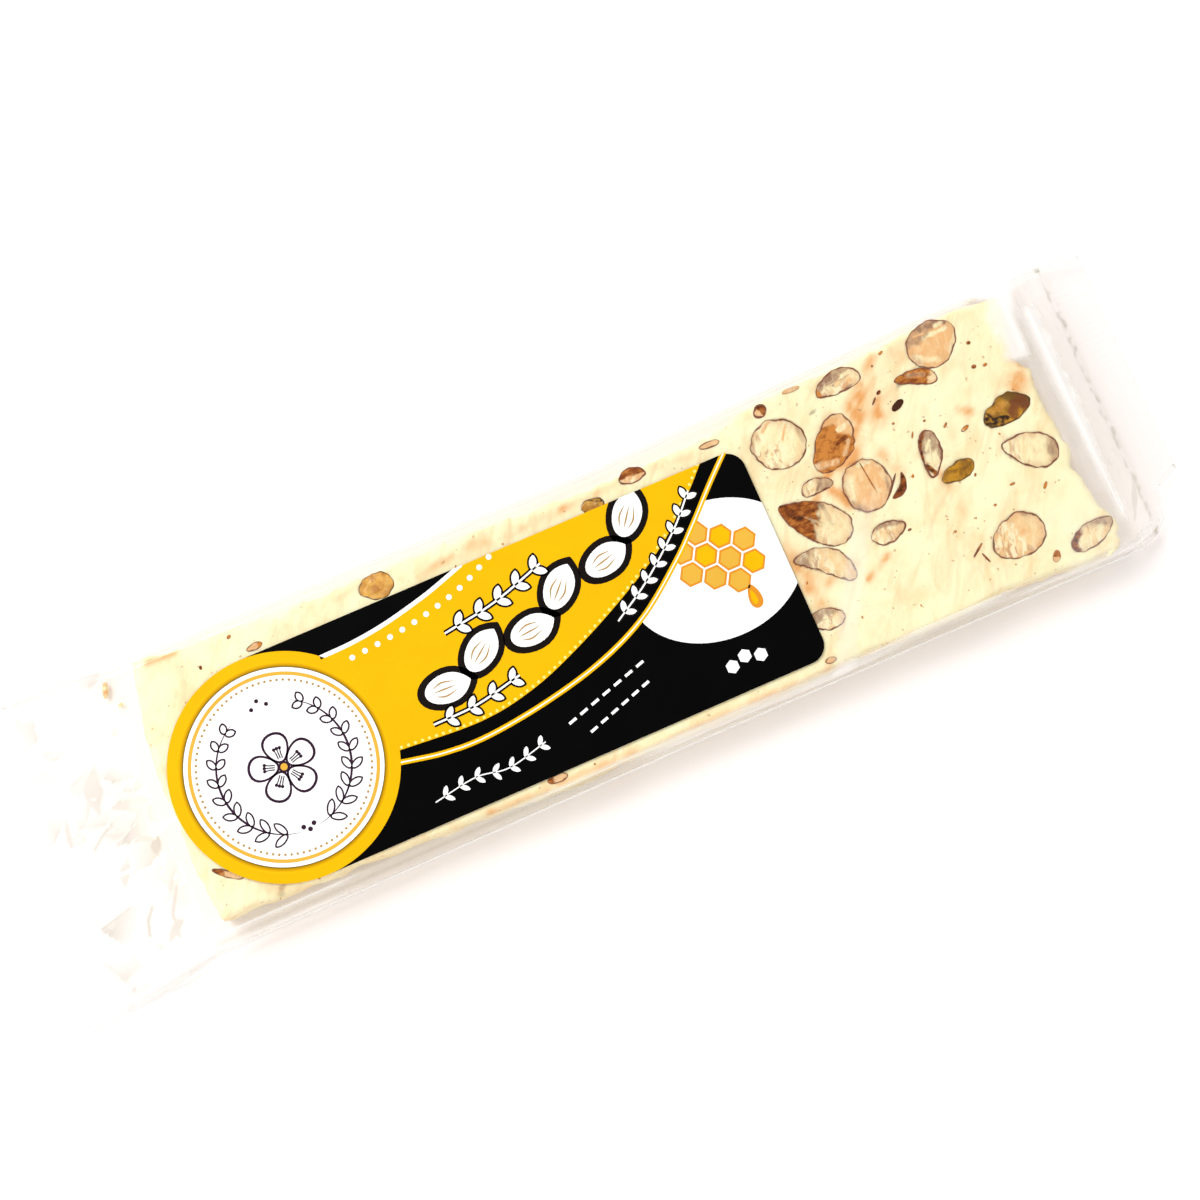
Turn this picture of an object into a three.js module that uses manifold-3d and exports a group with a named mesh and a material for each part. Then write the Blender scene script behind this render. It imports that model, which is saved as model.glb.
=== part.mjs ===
// Wrapped nougat bar, in millimetres, +Z up, lying on its back with the origin under its middle.
// X runs along the bar and Y across it. The clear wrapper with the slab inside is one closed solid.
// Almonds and pistachios cut through by the knife lie flush in its top face, and a label is on top.
import * as THREE from 'three';
import { mergeVertices } from 'three/addons/utils/BufferGeometryUtils.js';
import Module from 'manifold-3d';

const wasm = await Module();
wasm.setup();

// Driving dimensions
const TOP_Z = 10.2; // top of the slab, with the film tight over it
const PACK_END = 108; // cut edge of each crimp, from the middle
const CRIMP_LENGTH = 8;
const CRIMP_THICKNESS = 0.6;
const RIB_HEIGHT = 0.35; // ribs pressed into the crimps
const ZIGZAG_DEPTH = 0.9; // teeth of the cut edge
const SIDE_STEPS = 4; // facets over each long side, from the floor to the shoulder
const TOP_STEPS = 50; // facets across between the two shoulders
const FOLD_STEP = 1.7; // facet length where the film is creased
const NUT_GAP = 0.3; // clearance round each nut in its pocket
const NUT_DEPTH = 0.45; // depth of a nut below the cut, for each mm of its width
const LABEL_RADIUS = 20; // round badge end, as wide as the label
const LABEL_CENTRE = { x: -59.4, y: -1.6 };
const LABEL_END_X = 35.1;
const LABEL_CORNER = 3.4;
const LABEL_THICKNESS = 0.3;

// Lengthwise profile of the wrapper: near and far are its edges on the long sides, base and top
// its lowest and highest level, side the width over which the film rises to the top.
const crimpTop = (base) => base + CRIMP_THICKNESS;
const PROFILE = [
  { x: -PACK_END, near: -29.5, far: 29.5, base: 0.4, top: crimpTop(0.4), side: 4 },
  { x: -PACK_END + CRIMP_LENGTH, near: -28.4, far: 28.2, base: 0.4, top: crimpTop(0.4), side: 4 },
  { x: -90, near: -27.2, far: 27.6, base: 0, top: 6.2, side: 6 },
  { x: -82, near: -26, far: 26.8, base: 0, top: TOP_Z, side: 2.4 },
  { x: 10, near: -25.6, far: 25.4, base: 0, top: TOP_Z, side: 2.2 },
  { x: 75, near: -25.8, far: 27.6, base: 0, top: TOP_Z, side: 2 },
  { x: 93.4, near: -26, far: 27.4, base: 0, top: TOP_Z, side: 2.4 },
  { x: 98, near: -25, far: 27.6, base: 1.4, top: 5.2, side: 4 },
  { x: PACK_END - CRIMP_LENGTH, near: -24, far: 27.6, base: 2.4, top: crimpTop(2.4), side: 4 },
  { x: 102, near: -22, far: 27.4, base: 2.4, top: crimpTop(2.4), side: 4 },
  { x: 103.5, near: -16.5, far: 27.2, base: 2.4, top: crimpTop(2.4), side: 4 },
  { x: PACK_END, near: -14.5, far: 26.6, base: 2.4, top: crimpTop(2.4), side: 4 },
];

// Creases in the loose film between the slab and the crimps, along straight lines
const FOLDS = [
  { from: [-82, -24], to: [-100, -16], height: 1.3, width: 3.5 },
  { from: [-82, -12], to: [-100, -8], height: -1.2, width: 3 },
  { from: [-82, -1], to: [-100, 4], height: 1.2, width: 3.5 },
  { from: [-82, 11], to: [-100, 12], height: -1, width: 3 },
  { from: [-82, 25], to: [-100, 20], height: 1.3, width: 3.5 },
  { from: [93.4, -23], to: [100, -14], height: 0.9, width: 3 },
  { from: [93.4, 5], to: [100, 8], height: -0.8, width: 3 },
  { from: [93.4, 24], to: [100, 18], height: 0.9, width: 3 },
];

// Nuts in the cut face: middle, length and width of the section, turn of its long axis in
// degrees, taper towards its far end and bend of its long axis in mm
const ALMONDS = [
  { x: 74.8, y: 22, length: 9.8, width: 8, turn: 20, taper: 0.12, bend: 0 },
  { x: 69.5, y: 17.4, length: 7.8, width: 2.9, turn: 162, taper: 0.3, bend: -0.3 },
  { x: 56.3, y: 22, length: 8.8, width: 4.2, turn: 4, taper: -0.1, bend: 0.3 },
  { x: 42.2, y: 16.2, length: 9.9, width: 9.2, turn: 342, taper: 0, bend: 0 },
  { x: 51, y: 12.4, length: 11, width: 6.8, turn: 225, taper: 0.15, bend: 0.3 },
  { x: 53.5, y: 3.2, length: 9.5, width: 8.8, turn: 252, taper: 0.05, bend: 0 },
  { x: 58.9, y: 0.8, length: 4.9, width: 1.5, turn: 49, taper: 0.2, bend: -0.5 },
  { x: 45.3, y: 6.6, length: 5.8, width: 2.9, turn: 358, taper: 0.2, bend: 0.2 },
  { x: 42.6, y: 1.1, length: 13.6, width: 7, turn: 138, taper: 0.32, bend: 0 },
  { x: 53.8, y: -5.8, length: 6.6, width: 3.8, turn: 1, taper: 0.15, bend: 0 },
  { x: 41, y: -6.6, length: 11.6, width: 4.4, turn: 143, taper: 0.2, bend: -0.8 },
  { x: 37.5, y: -15.6, length: 6.3, width: 3.9, turn: 346, taper: 0.1, bend: 0 },
  { x: 83, y: -2.3, length: 10.4, width: 6.1, turn: 151, taper: 0.3, bend: 0 },
  { x: 66.2, y: 4, length: 8.7, width: 4, turn: 256, taper: 0.15, bend: 0.2 },
  { x: 74.5, y: -15.6, length: 10.4, width: 7.6, turn: 8, taper: -0.15, bend: 0 },
  { x: 86.8, y: -20.4, length: 9.2, width: 4.2, turn: 15, taper: 0.1, bend: 0 },
  { x: 16.1, y: 21.2, length: 5, width: 2.8, turn: 357, taper: 0.1, bend: 0.2 },
];
const PISTACHIOS = [
  { x: 82, y: 5.8, length: 9.4, width: 5.2, turn: 6, taper: 0, bend: 0.3 },
  { x: 69.4, y: -0.8, length: 6.6, width: 3.4, turn: 9, taper: -0.2, bend: 0 },
  { x: 7.7, y: 19.1, length: 4.2, width: 2.6, turn: 356, taper: 0, bend: 0 },
  { x: -32.7, y: 21, length: 6.2, width: 4.6, turn: 353, taper: -0.15, bend: 0 },
];

const MATERIALS = {
  bag: new THREE.MeshStandardMaterial({ color: 0xfbf3d3, roughness: 0.25, metalness: 0 }),
  label: new THREE.MeshStandardMaterial({ color: 0xfbc902, roughness: 0.2, metalness: 0 }),
  almond: new THREE.MeshStandardMaterial({ color: 0xd9b184, roughness: 0.6, metalness: 0 }),
  pistachio: new THREE.MeshStandardMaterial({ color: 0x8a6a1c, roughness: 0.55, metalness: 0 }),
};

// Profile of the wrapper at a place along the bar, straight between the stations
function profileAt(x) {
  const next = Math.max(1, PROFILE.findIndex((station) => station.x >= x));
  const a = PROFILE[next - 1];
  const b = PROFILE[next];
  const part = (x - a.x) / (b.x - a.x);
  const blend = (key) => THREE.MathUtils.lerp(a[key], b[key], part);
  return { x, near: blend('near'), far: blend('far'), base: blend('base'), top: blend('top'), side: blend('side') };
}

// Height that the creases add at a point of the upper film, fading out at both ends of each
function foldHeight(x, y) {
  return FOLDS.reduce((sum, { from, to, height, width }) => {
    const along = (x - from[0]) / (to[0] - from[0]);
    if (along <= 0 || along >= 1) {
      return sum;
    }
    const middle = THREE.MathUtils.lerp(from[1], to[1], along);
    const across = Math.max(0, 1 - Math.abs(y - middle) / width);
    return sum + height * across * Math.sin(Math.PI * along);
  }, 0);
}

// Places of the cross-sections: every station, and short steps where the film is creased
function sectionPlaces() {
  const places = [PROFILE[0].x];
  for (let i = 1; i < PROFILE.length; i += 1) {
    const a = PROFILE[i - 1];
    const b = PROFILE[i];
    const creased = (a.top !== TOP_Z || b.top !== TOP_Z) && Math.abs(b.top - a.top) > 0.1;
    const steps = creased ? Math.ceil((b.x - a.x) / FOLD_STEP) : 1;
    for (let k = 1; k <= steps; k += 1) {
      places.push(THREE.MathUtils.lerp(a.x, b.x, k / steps));
    }
  }
  return places;
}

// One cross-section: points over the top from the near to the far edge, and the points below them
function section(x) {
  const { near, far, base, top, side } = profileAt(x);
  const count = TOP_STEPS + 2 * SIDE_STEPS;
  const crimped = PACK_END - Math.abs(x) <= CRIMP_LENGTH;
  const cutEdge = Math.abs(x) === PACK_END;
  const over = [];
  const under = [];
  for (let j = 0; j <= count; j += 1) {
    const nearSteps = Math.min(j, SIDE_STEPS);
    const farSteps = Math.max(0, j - SIDE_STEPS - TOP_STEPS);
    const topSteps = j - nearSteps - farSteps;
    const topWidth = far - near - 2 * side;
    const y = near + (side * (nearSteps + farSteps)) / SIDE_STEPS + (topWidth * topSteps) / TOP_STEPS;
    const rise = Math.min(nearSteps, SIDE_STEPS - farSteps) / SIDE_STEPS;
    const shoulder = Math.sqrt(1 - (1 - rise) ** 2);
    const tooth = j % 2 === 0 ? 1 : -1;
    const rib = crimped ? (tooth * RIB_HEIGHT) / 2 : 0;
    const px = cutEdge ? x - (Math.sign(x) * ZIGZAG_DEPTH * (1 - tooth)) / 2 : x;
    over.push([px, y, base + rib + (top - base) * shoulder + foldHeight(x, y) * shoulder]);
    under.push([px, y, base + rib]);
  }
  return { over, under };
}

// Closed solid through all cross-sections, with both cut edges as strips of small faces
function wrapperGeometry() {
  const sections = sectionPlaces().map(section);
  const triangles = [];
  const quad = (a, b, c, d) => triangles.push(a, b, c, a, c, d);
  for (let i = 1; i < sections.length; i += 1) {
    const [s, t] = [sections[i - 1], sections[i]];
    for (let j = 1; j < s.over.length; j += 1) {
      quad(s.over[j - 1], t.over[j - 1], t.over[j], s.over[j]);
      quad(s.under[j], t.under[j], t.under[j - 1], s.under[j - 1]);
    }
  }
  const first = sections[0];
  const last = sections[sections.length - 1];
  for (let j = 1; j < first.over.length; j += 1) {
    quad(first.over[j], first.under[j], first.under[j - 1], first.over[j - 1]);
    quad(last.over[j - 1], last.under[j - 1], last.under[j], last.over[j]);
  }
  const geometry = new THREE.BufferGeometry();
  geometry.setAttribute('position', new THREE.Float32BufferAttribute(triangles.flat(), 3));
  return geometry;
}

// Section of a whole nut: a ball stretched to an ellipsoid, tapered to one end and bent
function nutGeometry({ x, y, length, width, turn, taper, bend }, gap) {
  const geometry = new THREE.SphereGeometry(1, 16, 8);
  const position = geometry.getAttribute('position');
  const depth = NUT_DEPTH * width + gap;
  for (let i = 0; i < position.count; i += 1) {
    const [u, v, w] = [position.getX(i), position.getY(i), position.getZ(i)];
    const across = v * (width / 2 + gap) * (1 - taper * u) + bend * (1 - 2 * u * u);
    position.setXYZ(i, u * (length / 2 + gap), across, w * depth);
  }
  geometry.rotateZ(THREE.MathUtils.degToRad(turn));
  geometry.translate(x, y, TOP_Z);
  return geometry;
}

function toManifold(geometry) {
  const bare = geometry.clone();
  bare.deleteAttribute('normal');
  bare.deleteAttribute('uv');
  const merged = mergeVertices(bare, 1e-4);
  const corners = merged.getIndex().array;
  const triVerts = [];
  for (let i = 0; i < corners.length; i += 3) {
    const [a, b, c] = corners.slice(i, i + 3);
    if (a !== b && b !== c && c !== a) {
      triVerts.push(a, b, c);
    }
  }
  const vertProperties = new Float32Array(merged.getAttribute('position').array);
  return new wasm.Manifold(new wasm.Mesh({ numProp: 3, vertProperties, triVerts: new Uint32Array(triVerts) }));
}

function fromManifold(solid) {
  const mesh = solid.getMesh();
  const geometry = new THREE.BufferGeometry();
  geometry.setAttribute('position', new THREE.BufferAttribute(mesh.vertProperties, 3));
  geometry.setIndex(new THREE.BufferAttribute(mesh.triVerts, 1));
  geometry.computeVertexNormals();
  return geometry;
}

function nutSolid(nut) {
  const below = new THREE.BoxGeometry(2 * nut.length, 2 * nut.length, TOP_Z);
  below.translate(nut.x, nut.y, TOP_Z / 2);
  return toManifold(nutGeometry(nut, 0)).intersect(toManifold(below));
}

function wrapperSolid(nuts) {
  return nuts.reduce(
    (solid, nut) => solid.subtract(toManifold(nutGeometry(nut, NUT_GAP))),
    toManifold(wrapperGeometry()),
  );
}

// Label: a strip with two round corners at one end and a half circle round the badge at the other
function labelGeometry() {
  const { x, y } = LABEL_CENTRE;
  const outline = new THREE.Shape();
  outline.moveTo(x, y - LABEL_RADIUS);
  outline.lineTo(LABEL_END_X - LABEL_CORNER, y - LABEL_RADIUS);
  const cornerX = LABEL_END_X - LABEL_CORNER;
  const cornerY = LABEL_RADIUS - LABEL_CORNER;
  outline.absarc(cornerX, y - cornerY, LABEL_CORNER, -Math.PI / 2, 0);
  outline.absarc(cornerX, y + cornerY, LABEL_CORNER, 0, Math.PI / 2);
  outline.absarc(x, y, LABEL_RADIUS, Math.PI / 2, (3 * Math.PI) / 2);
  const geometry = new THREE.ExtrudeGeometry(outline, {
    depth: LABEL_THICKNESS,
    bevelEnabled: false,
    curveSegments: 36,
  });
  geometry.translate(0, 0, TOP_Z);
  return geometry;
}

const group = new THREE.Group();

function addPart(name, geometry, material) {
  const mesh = new THREE.Mesh(geometry, material);
  mesh.name = name;
  group.add(mesh);
}

addPart('clear_bag', fromManifold(wrapperSolid([...ALMONDS, ...PISTACHIOS])), MATERIALS.bag);
addPart('label', labelGeometry(), MATERIALS.label);
ALMONDS.forEach((nut, i) => {
  const number = String(i + 1).padStart(2, '0');
  addPart(`almond_${number}`, fromManifold(nutSolid(nut)), MATERIALS.almond);
});
PISTACHIOS.forEach((nut, i) => {
  addPart(`pistachio_${i + 1}`, fromManifold(nutSolid(nut)), MATERIALS.pistachio);
});

export default group;
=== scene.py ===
import math

import bpy
import numpy as np
from mathutils import Matrix, Vector
from mathutils.geometry import tessellate_polygon


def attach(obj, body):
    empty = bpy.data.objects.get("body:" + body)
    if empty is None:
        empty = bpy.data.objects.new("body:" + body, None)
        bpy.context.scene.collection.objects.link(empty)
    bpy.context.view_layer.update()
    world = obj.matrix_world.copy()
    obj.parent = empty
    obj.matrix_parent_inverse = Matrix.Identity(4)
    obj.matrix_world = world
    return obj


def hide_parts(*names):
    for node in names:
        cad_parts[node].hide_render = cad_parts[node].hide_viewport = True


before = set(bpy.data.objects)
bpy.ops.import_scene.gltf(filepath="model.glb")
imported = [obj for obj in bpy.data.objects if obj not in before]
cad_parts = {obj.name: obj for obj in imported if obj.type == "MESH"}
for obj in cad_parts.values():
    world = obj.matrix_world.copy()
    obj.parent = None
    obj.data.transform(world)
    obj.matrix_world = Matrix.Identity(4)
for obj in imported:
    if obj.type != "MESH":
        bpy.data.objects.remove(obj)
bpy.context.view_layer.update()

# All sizes below are in millimetres in the frame's axes; meshes are written in metres.
MM = 0.001

# Slab, film and label levels
TOP_Z = 10.2
SLAB_TOP = 9.96
SLAB_BOTTOM = 0.45
FILM_TOP = 10.2
LABEL_BOTTOM = 10.26
LABEL_TOP = 10.4
INK = 0.01
SIDE_STEPS = 10
TOP_STEPS = 130

# Wrapper: half its length, its crimps with their ribs, and where the film leaves the bar
PACK_END = 108.0
CRIMP_LENGTH = 8.0
CRIMP_START = PACK_END - CRIMP_LENGTH
RIB_PITCH = 1.3
LOOSE_LEFT = -80
LOOSE_RIGHT = 93

# Wrapper: edges, levels and width of the side slope at places along the bar
PROFILE_X = (-108, -100, -90, -82, 10, 75, 93.4, 98, 100, 102, 103.5, 108)
PROFILE = {
    "near": (-29.5, -28.4, -27.2, -26, -25.6, -25.8, -26, -25, -24, -22, -16.5, -14.5),
    "far": (29.5, 28.2, 27.6, 26.8, 25.4, 27.6, 27.4, 27.6, 27.6, 27.4, 27.2, 26.6),
    "base": (0.7, 0.7, 0.1, 0.05, 0.05, 0.05, 0.05, 1.6, 2.7, 2.7, 2.7, 2.7),
    "top": (0.8, 0.8, 6.2, FILM_TOP, FILM_TOP, FILM_TOP, FILM_TOP, 5.2, 2.8, 2.8, 2.8, 2.8),
    "side": (4, 4, 6, 2.4, 2.2, 2, 2.4, 4, 4, 4, 4, 4),
}

# Outline of the slab's top face
NEAR_EDGE = (
    (-79, -21.4), (-52, -22.2), (-28, -23.5), (-15, -24.3), (0, -23.8), (20, -24.2), (40, -23.6),
    (58, -23.9), (67, -23.3), (79, -24), (88, -25.1), (92, -25.4),
)
FAR_EDGE = (
    (-79, 25.6), (-66, 24.5), (-50, 23.4), (-27, 23.5), (-14, 23.2), (3, 22.2), (18, 22.2), (30, 22.4),
    (42, 24.6), (60, 24.7), (76, 25.9), (90, 25.5),
)
LEFT_END = ((-24, -78.9), (-18, -79.4), (-7, -80), (3, -79.8), (14, -79), (26, -76.4))
RIGHT_END = (
    (-25.4, 88.3), (-24.3, 90.8), (-20, 92), (-16.3, 90.3), (-9, 89.2), (0.6, 89.4), (5.9, 88.4),
    (10.8, 89.6), (14.1, 86.8), (18.7, 88.4), (23.3, 89.4), (26, 88.6),
)


def noise(x, y, size, seed):
    """Smooth random field between -1 and 1 with features of the given size."""
    u, v = np.asarray(x) / size + 31.7, np.asarray(y) / size + 17.3
    i, j = np.floor(u), np.floor(v)
    s, t = u - i, v - j
    s, t = s * s * (3 - 2 * s), t * t * (3 - 2 * t)

    def corner(di, dj):
        h = np.sin((i + di) * 127.1 + (j + dj) * 311.7 + seed * 74.7) * 43758.5453
        return h - np.floor(h)

    low = corner(0, 0) * (1 - s) + corner(1, 0) * s
    high = corner(0, 1) * (1 - s) + corner(1, 1) * s
    return 2 * (low * (1 - t) + high * t) - 1


def fractal(x, y, size, seed, octaves=4):
    return sum(noise(x, y, size / 2**k, seed + k) / 2**k for k in range(octaves))


def smoothstep(low, high, value):
    t = np.clip((value - low) / (high - low), 0, 1)
    return t * t * (3 - 2 * t)


def span(value, start, full, ease, end):
    """1 from full to ease, falling smoothly to 0 at start and end."""
    return smoothstep(start, full, value) * smoothstep(end, ease, value)


def follow(points, value):
    """Height of a line through a few points, straight between them."""
    xs, ys = zip(*points)
    return np.interp(value, xs, ys)


def turned(x, y, p, q, angle):
    """Place of a point p along and q across a direction in radians, from (x, y)."""
    return x + p * math.cos(angle) - q * math.sin(angle), y + p * math.sin(angle) + q * math.cos(angle)


def along_across(x, y, px, py, turn):
    """Distances along and across a direction in degrees, from (px, py)."""
    c, s = math.cos(math.radians(turn)), math.sin(math.radians(turn))
    return (x - px) * c + (y - py) * s, (y - py) * c - (x - px) * s


def segment_distance(x, y, a, b):
    ax, ay = a
    dx, dy = b[0] - ax, b[1] - ay
    t = np.clip(((x - ax) * dx + (y - ay) * dy) / (dx * dx + dy * dy), 0, 1)
    return np.hypot(x - ax - t * dx, y - ay - t * dy)


def make_object(name, vertices, faces, materials, indices=None, smooth=True):
    """Mesh object from millimetre vertices; indices gives each face's material."""
    mesh = bpy.data.meshes.new(name)
    mesh.from_pydata((np.asarray(vertices, float) * MM).tolist(), [], [list(map(int, f)) for f in faces])
    for each in materials:
        mesh.materials.append(each)
    if indices is not None:
        mesh.polygons.foreach_set("material_index", np.asarray(indices, np.int32))
    mesh.polygons.foreach_set("use_smooth", np.full(len(mesh.polygons), smooth))
    mesh.update()
    made = bpy.data.objects.new(name, mesh)
    bpy.context.scene.collection.objects.link(made)
    return made


def set_attribute(made, name, values):
    layer = made.data.attributes.new(name, "FLOAT", "POINT")
    layer.data.foreach_set("value", np.asarray(values, np.float32))


def grid_faces(rows, columns, start=0, flip=False):
    """Quads of a grid whose points are numbered row by row."""
    i, j = np.meshgrid(np.arange(rows - 1), np.arange(columns - 1), indexing="ij")
    a = (start + i * columns + j).ravel()
    quads = np.stack([a, a + columns, a + columns + 1, a + 1], axis=1)
    return quads[:, ::-1] if flip else quads


class Nodes:
    """Short way of building one material's node tree."""

    def __init__(self, name):
        self.material = bpy.data.materials.new(name)
        self.material.use_nodes = True
        self.tree = self.material.node_tree
        self.shader = self.tree.nodes["Principled BSDF"]
        self.output = self.tree.nodes["Material Output"]

    def add(self, kind, settings=None, **inputs):
        node = self.tree.nodes.new(kind)
        for key, value in (settings or {}).items():
            setattr(node, key, value)
        for key, value in inputs.items():
            self.put(node, key.replace("_", " "), value)
        return node

    def put(self, node, key, value):
        socket = node.inputs[int(key)] if key.isdigit() else node.inputs[key]
        if isinstance(value, bpy.types.NodeSocket):
            self.tree.links.new(value, socket)
        else:
            socket.default_value = value

    def principled(self, **inputs):
        for key, value in inputs.items():
            self.put(self.shader, key.replace("_", " "), value)

    def place(self, scale=(1, 1, 1)):
        """Position on the object in millimetres, stretched by scale."""
        where = self.add("ShaderNodeTexCoord").outputs["Object"]
        size = tuple(s / MM for s in scale)
        return self.add("ShaderNodeMapping", Vector=where, Scale=size).outputs["Vector"]

    def noise(self, size, detail=4, rough=0.55, stretch=(1, 1, 1), distortion=0.0, turn=0.0):
        """Noise with features of about size millimetres, stretched along a direction in degrees."""
        where = self.place() if turn else self.place(stretch)
        if turn:
            where = self.add("ShaderNodeMapping", {"vector_type": "TEXTURE"}, Vector=where,
                             Rotation=(0, 0, math.radians(turn)),
                             Scale=[1 / s for s in stretch]).outputs["Vector"]
        return self.add("ShaderNodeTexNoise", Vector=where, Scale=1 / size, Detail=detail,
                        Roughness=rough, Distortion=distortion).outputs["Fac"]

    def ramp(self, fac, *stops):
        """Colour or grey over a factor, from (position, colour) stops."""
        node = self.add("ShaderNodeValToRGB", Fac=fac)
        while len(node.color_ramp.elements) < len(stops):
            node.color_ramp.elements.new(0.5)
        for element, (position, colour) in zip(node.color_ramp.elements, stops):
            element.position = position
            grey = isinstance(colour, (int, float))
            element.color = (colour, colour, colour, 1) if grey else (*colour, 1)
        return node.outputs["Color"]

    def mix(self, fac, a, b):
        node = self.add("ShaderNodeMix", {"data_type": "RGBA"})
        for key, value in (("Factor", fac), ("A", a), ("B", b)):
            socket = next(s for s in node.inputs if s.name == key and s.enabled)
            if isinstance(value, bpy.types.NodeSocket):
                self.tree.links.new(value, socket)
            else:
                socket.default_value = value if key == "Factor" else (*value, 1)
        return next(s for s in node.outputs if s.enabled)

    def mix_shaders(self, fac, a, b):
        return self.add("ShaderNodeMixShader", **{"0": fac, "1": a, "2": b}).outputs["Shader"]

    def math(self, operation, *values):
        inputs = {str(k): value for k, value in enumerate(values)}
        return self.add("ShaderNodeMath", {"operation": operation}, **inputs).outputs[0]

    def attribute(self, name):
        return self.add("ShaderNodeAttribute", {"attribute_name": name}).outputs["Fac"]

    def bump(self, height, distance, strength=1.0, under=None):
        node = self.add("ShaderNodeBump", Height=height, Distance=distance * MM, Strength=strength)
        if under is not None:
            self.put(node, "Normal", under)
        return node.outputs["Normal"]


def nougat_material():
    n = Nodes("nougat")
    cream, white, tan = (0.87, 0.73, 0.425), (0.915, 0.85, 0.55), (0.76, 0.36, 0.11)
    clouds = n.ramp(n.noise(9, detail=5, distortion=0.8), (0.38, cream), (0.6, white))
    mottle = n.noise(2.2, detail=6, rough=0.65, stretch=(0.5, 1, 1), distortion=0.6, turn=50)
    clouds = n.mix(n.ramp(mottle, (0.42, 0.0), (0.62, 0.7)), clouds, (0.925, 0.865, 0.58))
    veins = n.noise(4.5, detail=6, rough=0.6, stretch=(0.3, 1, 1), distortion=1.2, turn=58)
    toned = n.mix(n.ramp(veins, (0.5, 0.0), (0.72, 0.36)), clouds, tan)
    colour = n.mix(n.attribute("tan"), toned, tan)
    specks = n.ramp(n.noise(1.1, detail=2, rough=0.4), (0.7, 0.0), (0.74, 0.55))
    colour = n.mix(specks, colour, (0.45, 0.2, 0.06))
    # Near-black brown is painted shade inside the pits
    n.principled(Base_Color=n.mix(n.attribute("painted_pit_shade"), colour, (0.06, 0.025, 0.01)), Roughness=0.5,
                 Subsurface_Weight=0.2, Subsurface_Radius=(1.0, 0.7, 0.4), Subsurface_Scale=0.001)
    grain = n.bump(n.noise(0.5, detail=6), 0.06, 0.5)
    n.principled(Normal=n.bump(n.noise(3, detail=4, stretch=(0.3, 1, 1)), 0.15, 0.4, under=grain))
    return n.material


def almond_material():
    n = Nodes("almond")
    pale, peach, grey = (0.87, 0.78, 0.47), (0.8, 0.46, 0.2), (0.32, 0.18, 0.11)
    dark, brown, tan = (0.055, 0.014, 0.003), (0.25, 0.062, 0.008), (0.58, 0.22, 0.04)
    blotch = n.noise(2.6, detail=5, distortion=0.8)
    tone = n.math("ADD", n.attribute("tone"), blotch)
    kernel = n.mix(n.ramp(tone, (0.5, 0.0), (1.15, 1.0)), pale, peach)
    kernel = n.mix(n.ramp(n.attribute("inside"), (0.0, 0.6), (0.3, 0.0)), kernel, (0.6, 0.36, 0.19))
    strokes = n.noise(1.6, detail=6, rough=0.65, stretch=(0.35, 1, 1), distortion=0.6, turn=60)
    kernel = n.mix(n.ramp(strokes, (0.48, 0.0), (0.64, 0.6)), kernel, (0.8, 0.52, 0.24))
    flaky = n.attribute("flaky")
    flakes = n.noise(1.1, detail=6, stretch=(0.4, 1, 1), distortion=0.8, turn=70)
    flakes = n.math("MULTIPLY", n.ramp(flakes, (0.48, 0.0), (0.56, 0.75)), flaky)
    kernel = n.mix(flakes, kernel, (0.92, 0.82, 0.55))
    scratches = n.noise(1.3, detail=6, stretch=(0.4, 1, 1), distortion=1.4, turn=85)
    scratches = n.math("MULTIPLY", n.ramp(scratches, (0.54, 0.0), (0.64, 0.75)), flaky)
    kernel = n.mix(scratches, kernel, (0.5, 0.26, 0.14))
    smudge = n.ramp(n.noise(0.9, detail=4, stretch=(0.5, 1, 1), turn=80), (0.35, 0.45), (0.6, 1.0))
    kernel = n.mix(n.math("MULTIPLY", n.attribute("shade"), smudge), kernel, grey)
    ragged = n.noise(0.8, detail=6, stretch=(0.5, 1, 1))
    torn = n.math("MULTIPLY_ADD", n.attribute("warm"), 0.25, ragged)
    rough = n.mix(n.ramp(torn, (0.36, 0.0), (0.5, 1.0)), dark, brown)
    rough = n.mix(n.ramp(torn, (0.52, 0.0), (0.72, 1.0)), rough, tan)
    colour = n.mix(n.attribute("skin"), kernel, rough)
    rim = n.mix(n.noise(1.3, detail=3), (0.07, 0.022, 0.013), (0.32, 0.12, 0.072))
    n.principled(Base_Color=n.mix(n.attribute("rim"), colour, rim), Roughness=0.5, Specular_IOR_Level=0.15,
                 Subsurface_Weight=0.08, Subsurface_Radius=(1.0, 0.6, 0.3), Subsurface_Scale=0.0006)
    n.principled(Normal=n.bump(n.noise(0.6, detail=6), 0.16, 0.9))
    return n.material


def pistachio_material():
    n = Nodes("pistachio")
    olive, gold, dark = (0.28, 0.125, 0.003), (0.6, 0.28, 0.012), (0.035, 0.014, 0.004)
    flesh = n.ramp(n.noise(1.9, detail=6, distortion=0.7),
                   (0.34, (0.17, 0.07, 0.004)), (0.45, olive), (0.66, gold))
    orange = n.ramp(n.noise(1.5, detail=4), (0.35, (0.5, 0.2, 0.03)), (0.6, (0.8, 0.44, 0.1)))
    flesh = n.mix(n.attribute("tone"), flesh, orange)
    flesh = n.mix(n.attribute("shade"), flesh, (0.12, 0.055, 0.004))
    flesh = n.mix(n.attribute("warm"), flesh, (0.17, 0.042, 0.012))
    spots = n.ramp(n.noise(0.7, detail=3), (0.4, 0.2), (0.55, 1.0))
    colour = n.mix(n.mix(spots, (0, 0, 0), n.attribute("skin")), flesh, dark)
    n.principled(Base_Color=n.mix(n.attribute("rim"), colour, (0.1, 0.045, 0.008)), Roughness=0.2,
                 Subsurface_Weight=0.08, Subsurface_Radius=(1.0, 0.8, 0.2), Subsurface_Scale=0.0008)
    n.principled(Normal=n.bump(n.noise(1.1, detail=5), 0.3, 0.9))
    return n.material


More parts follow.
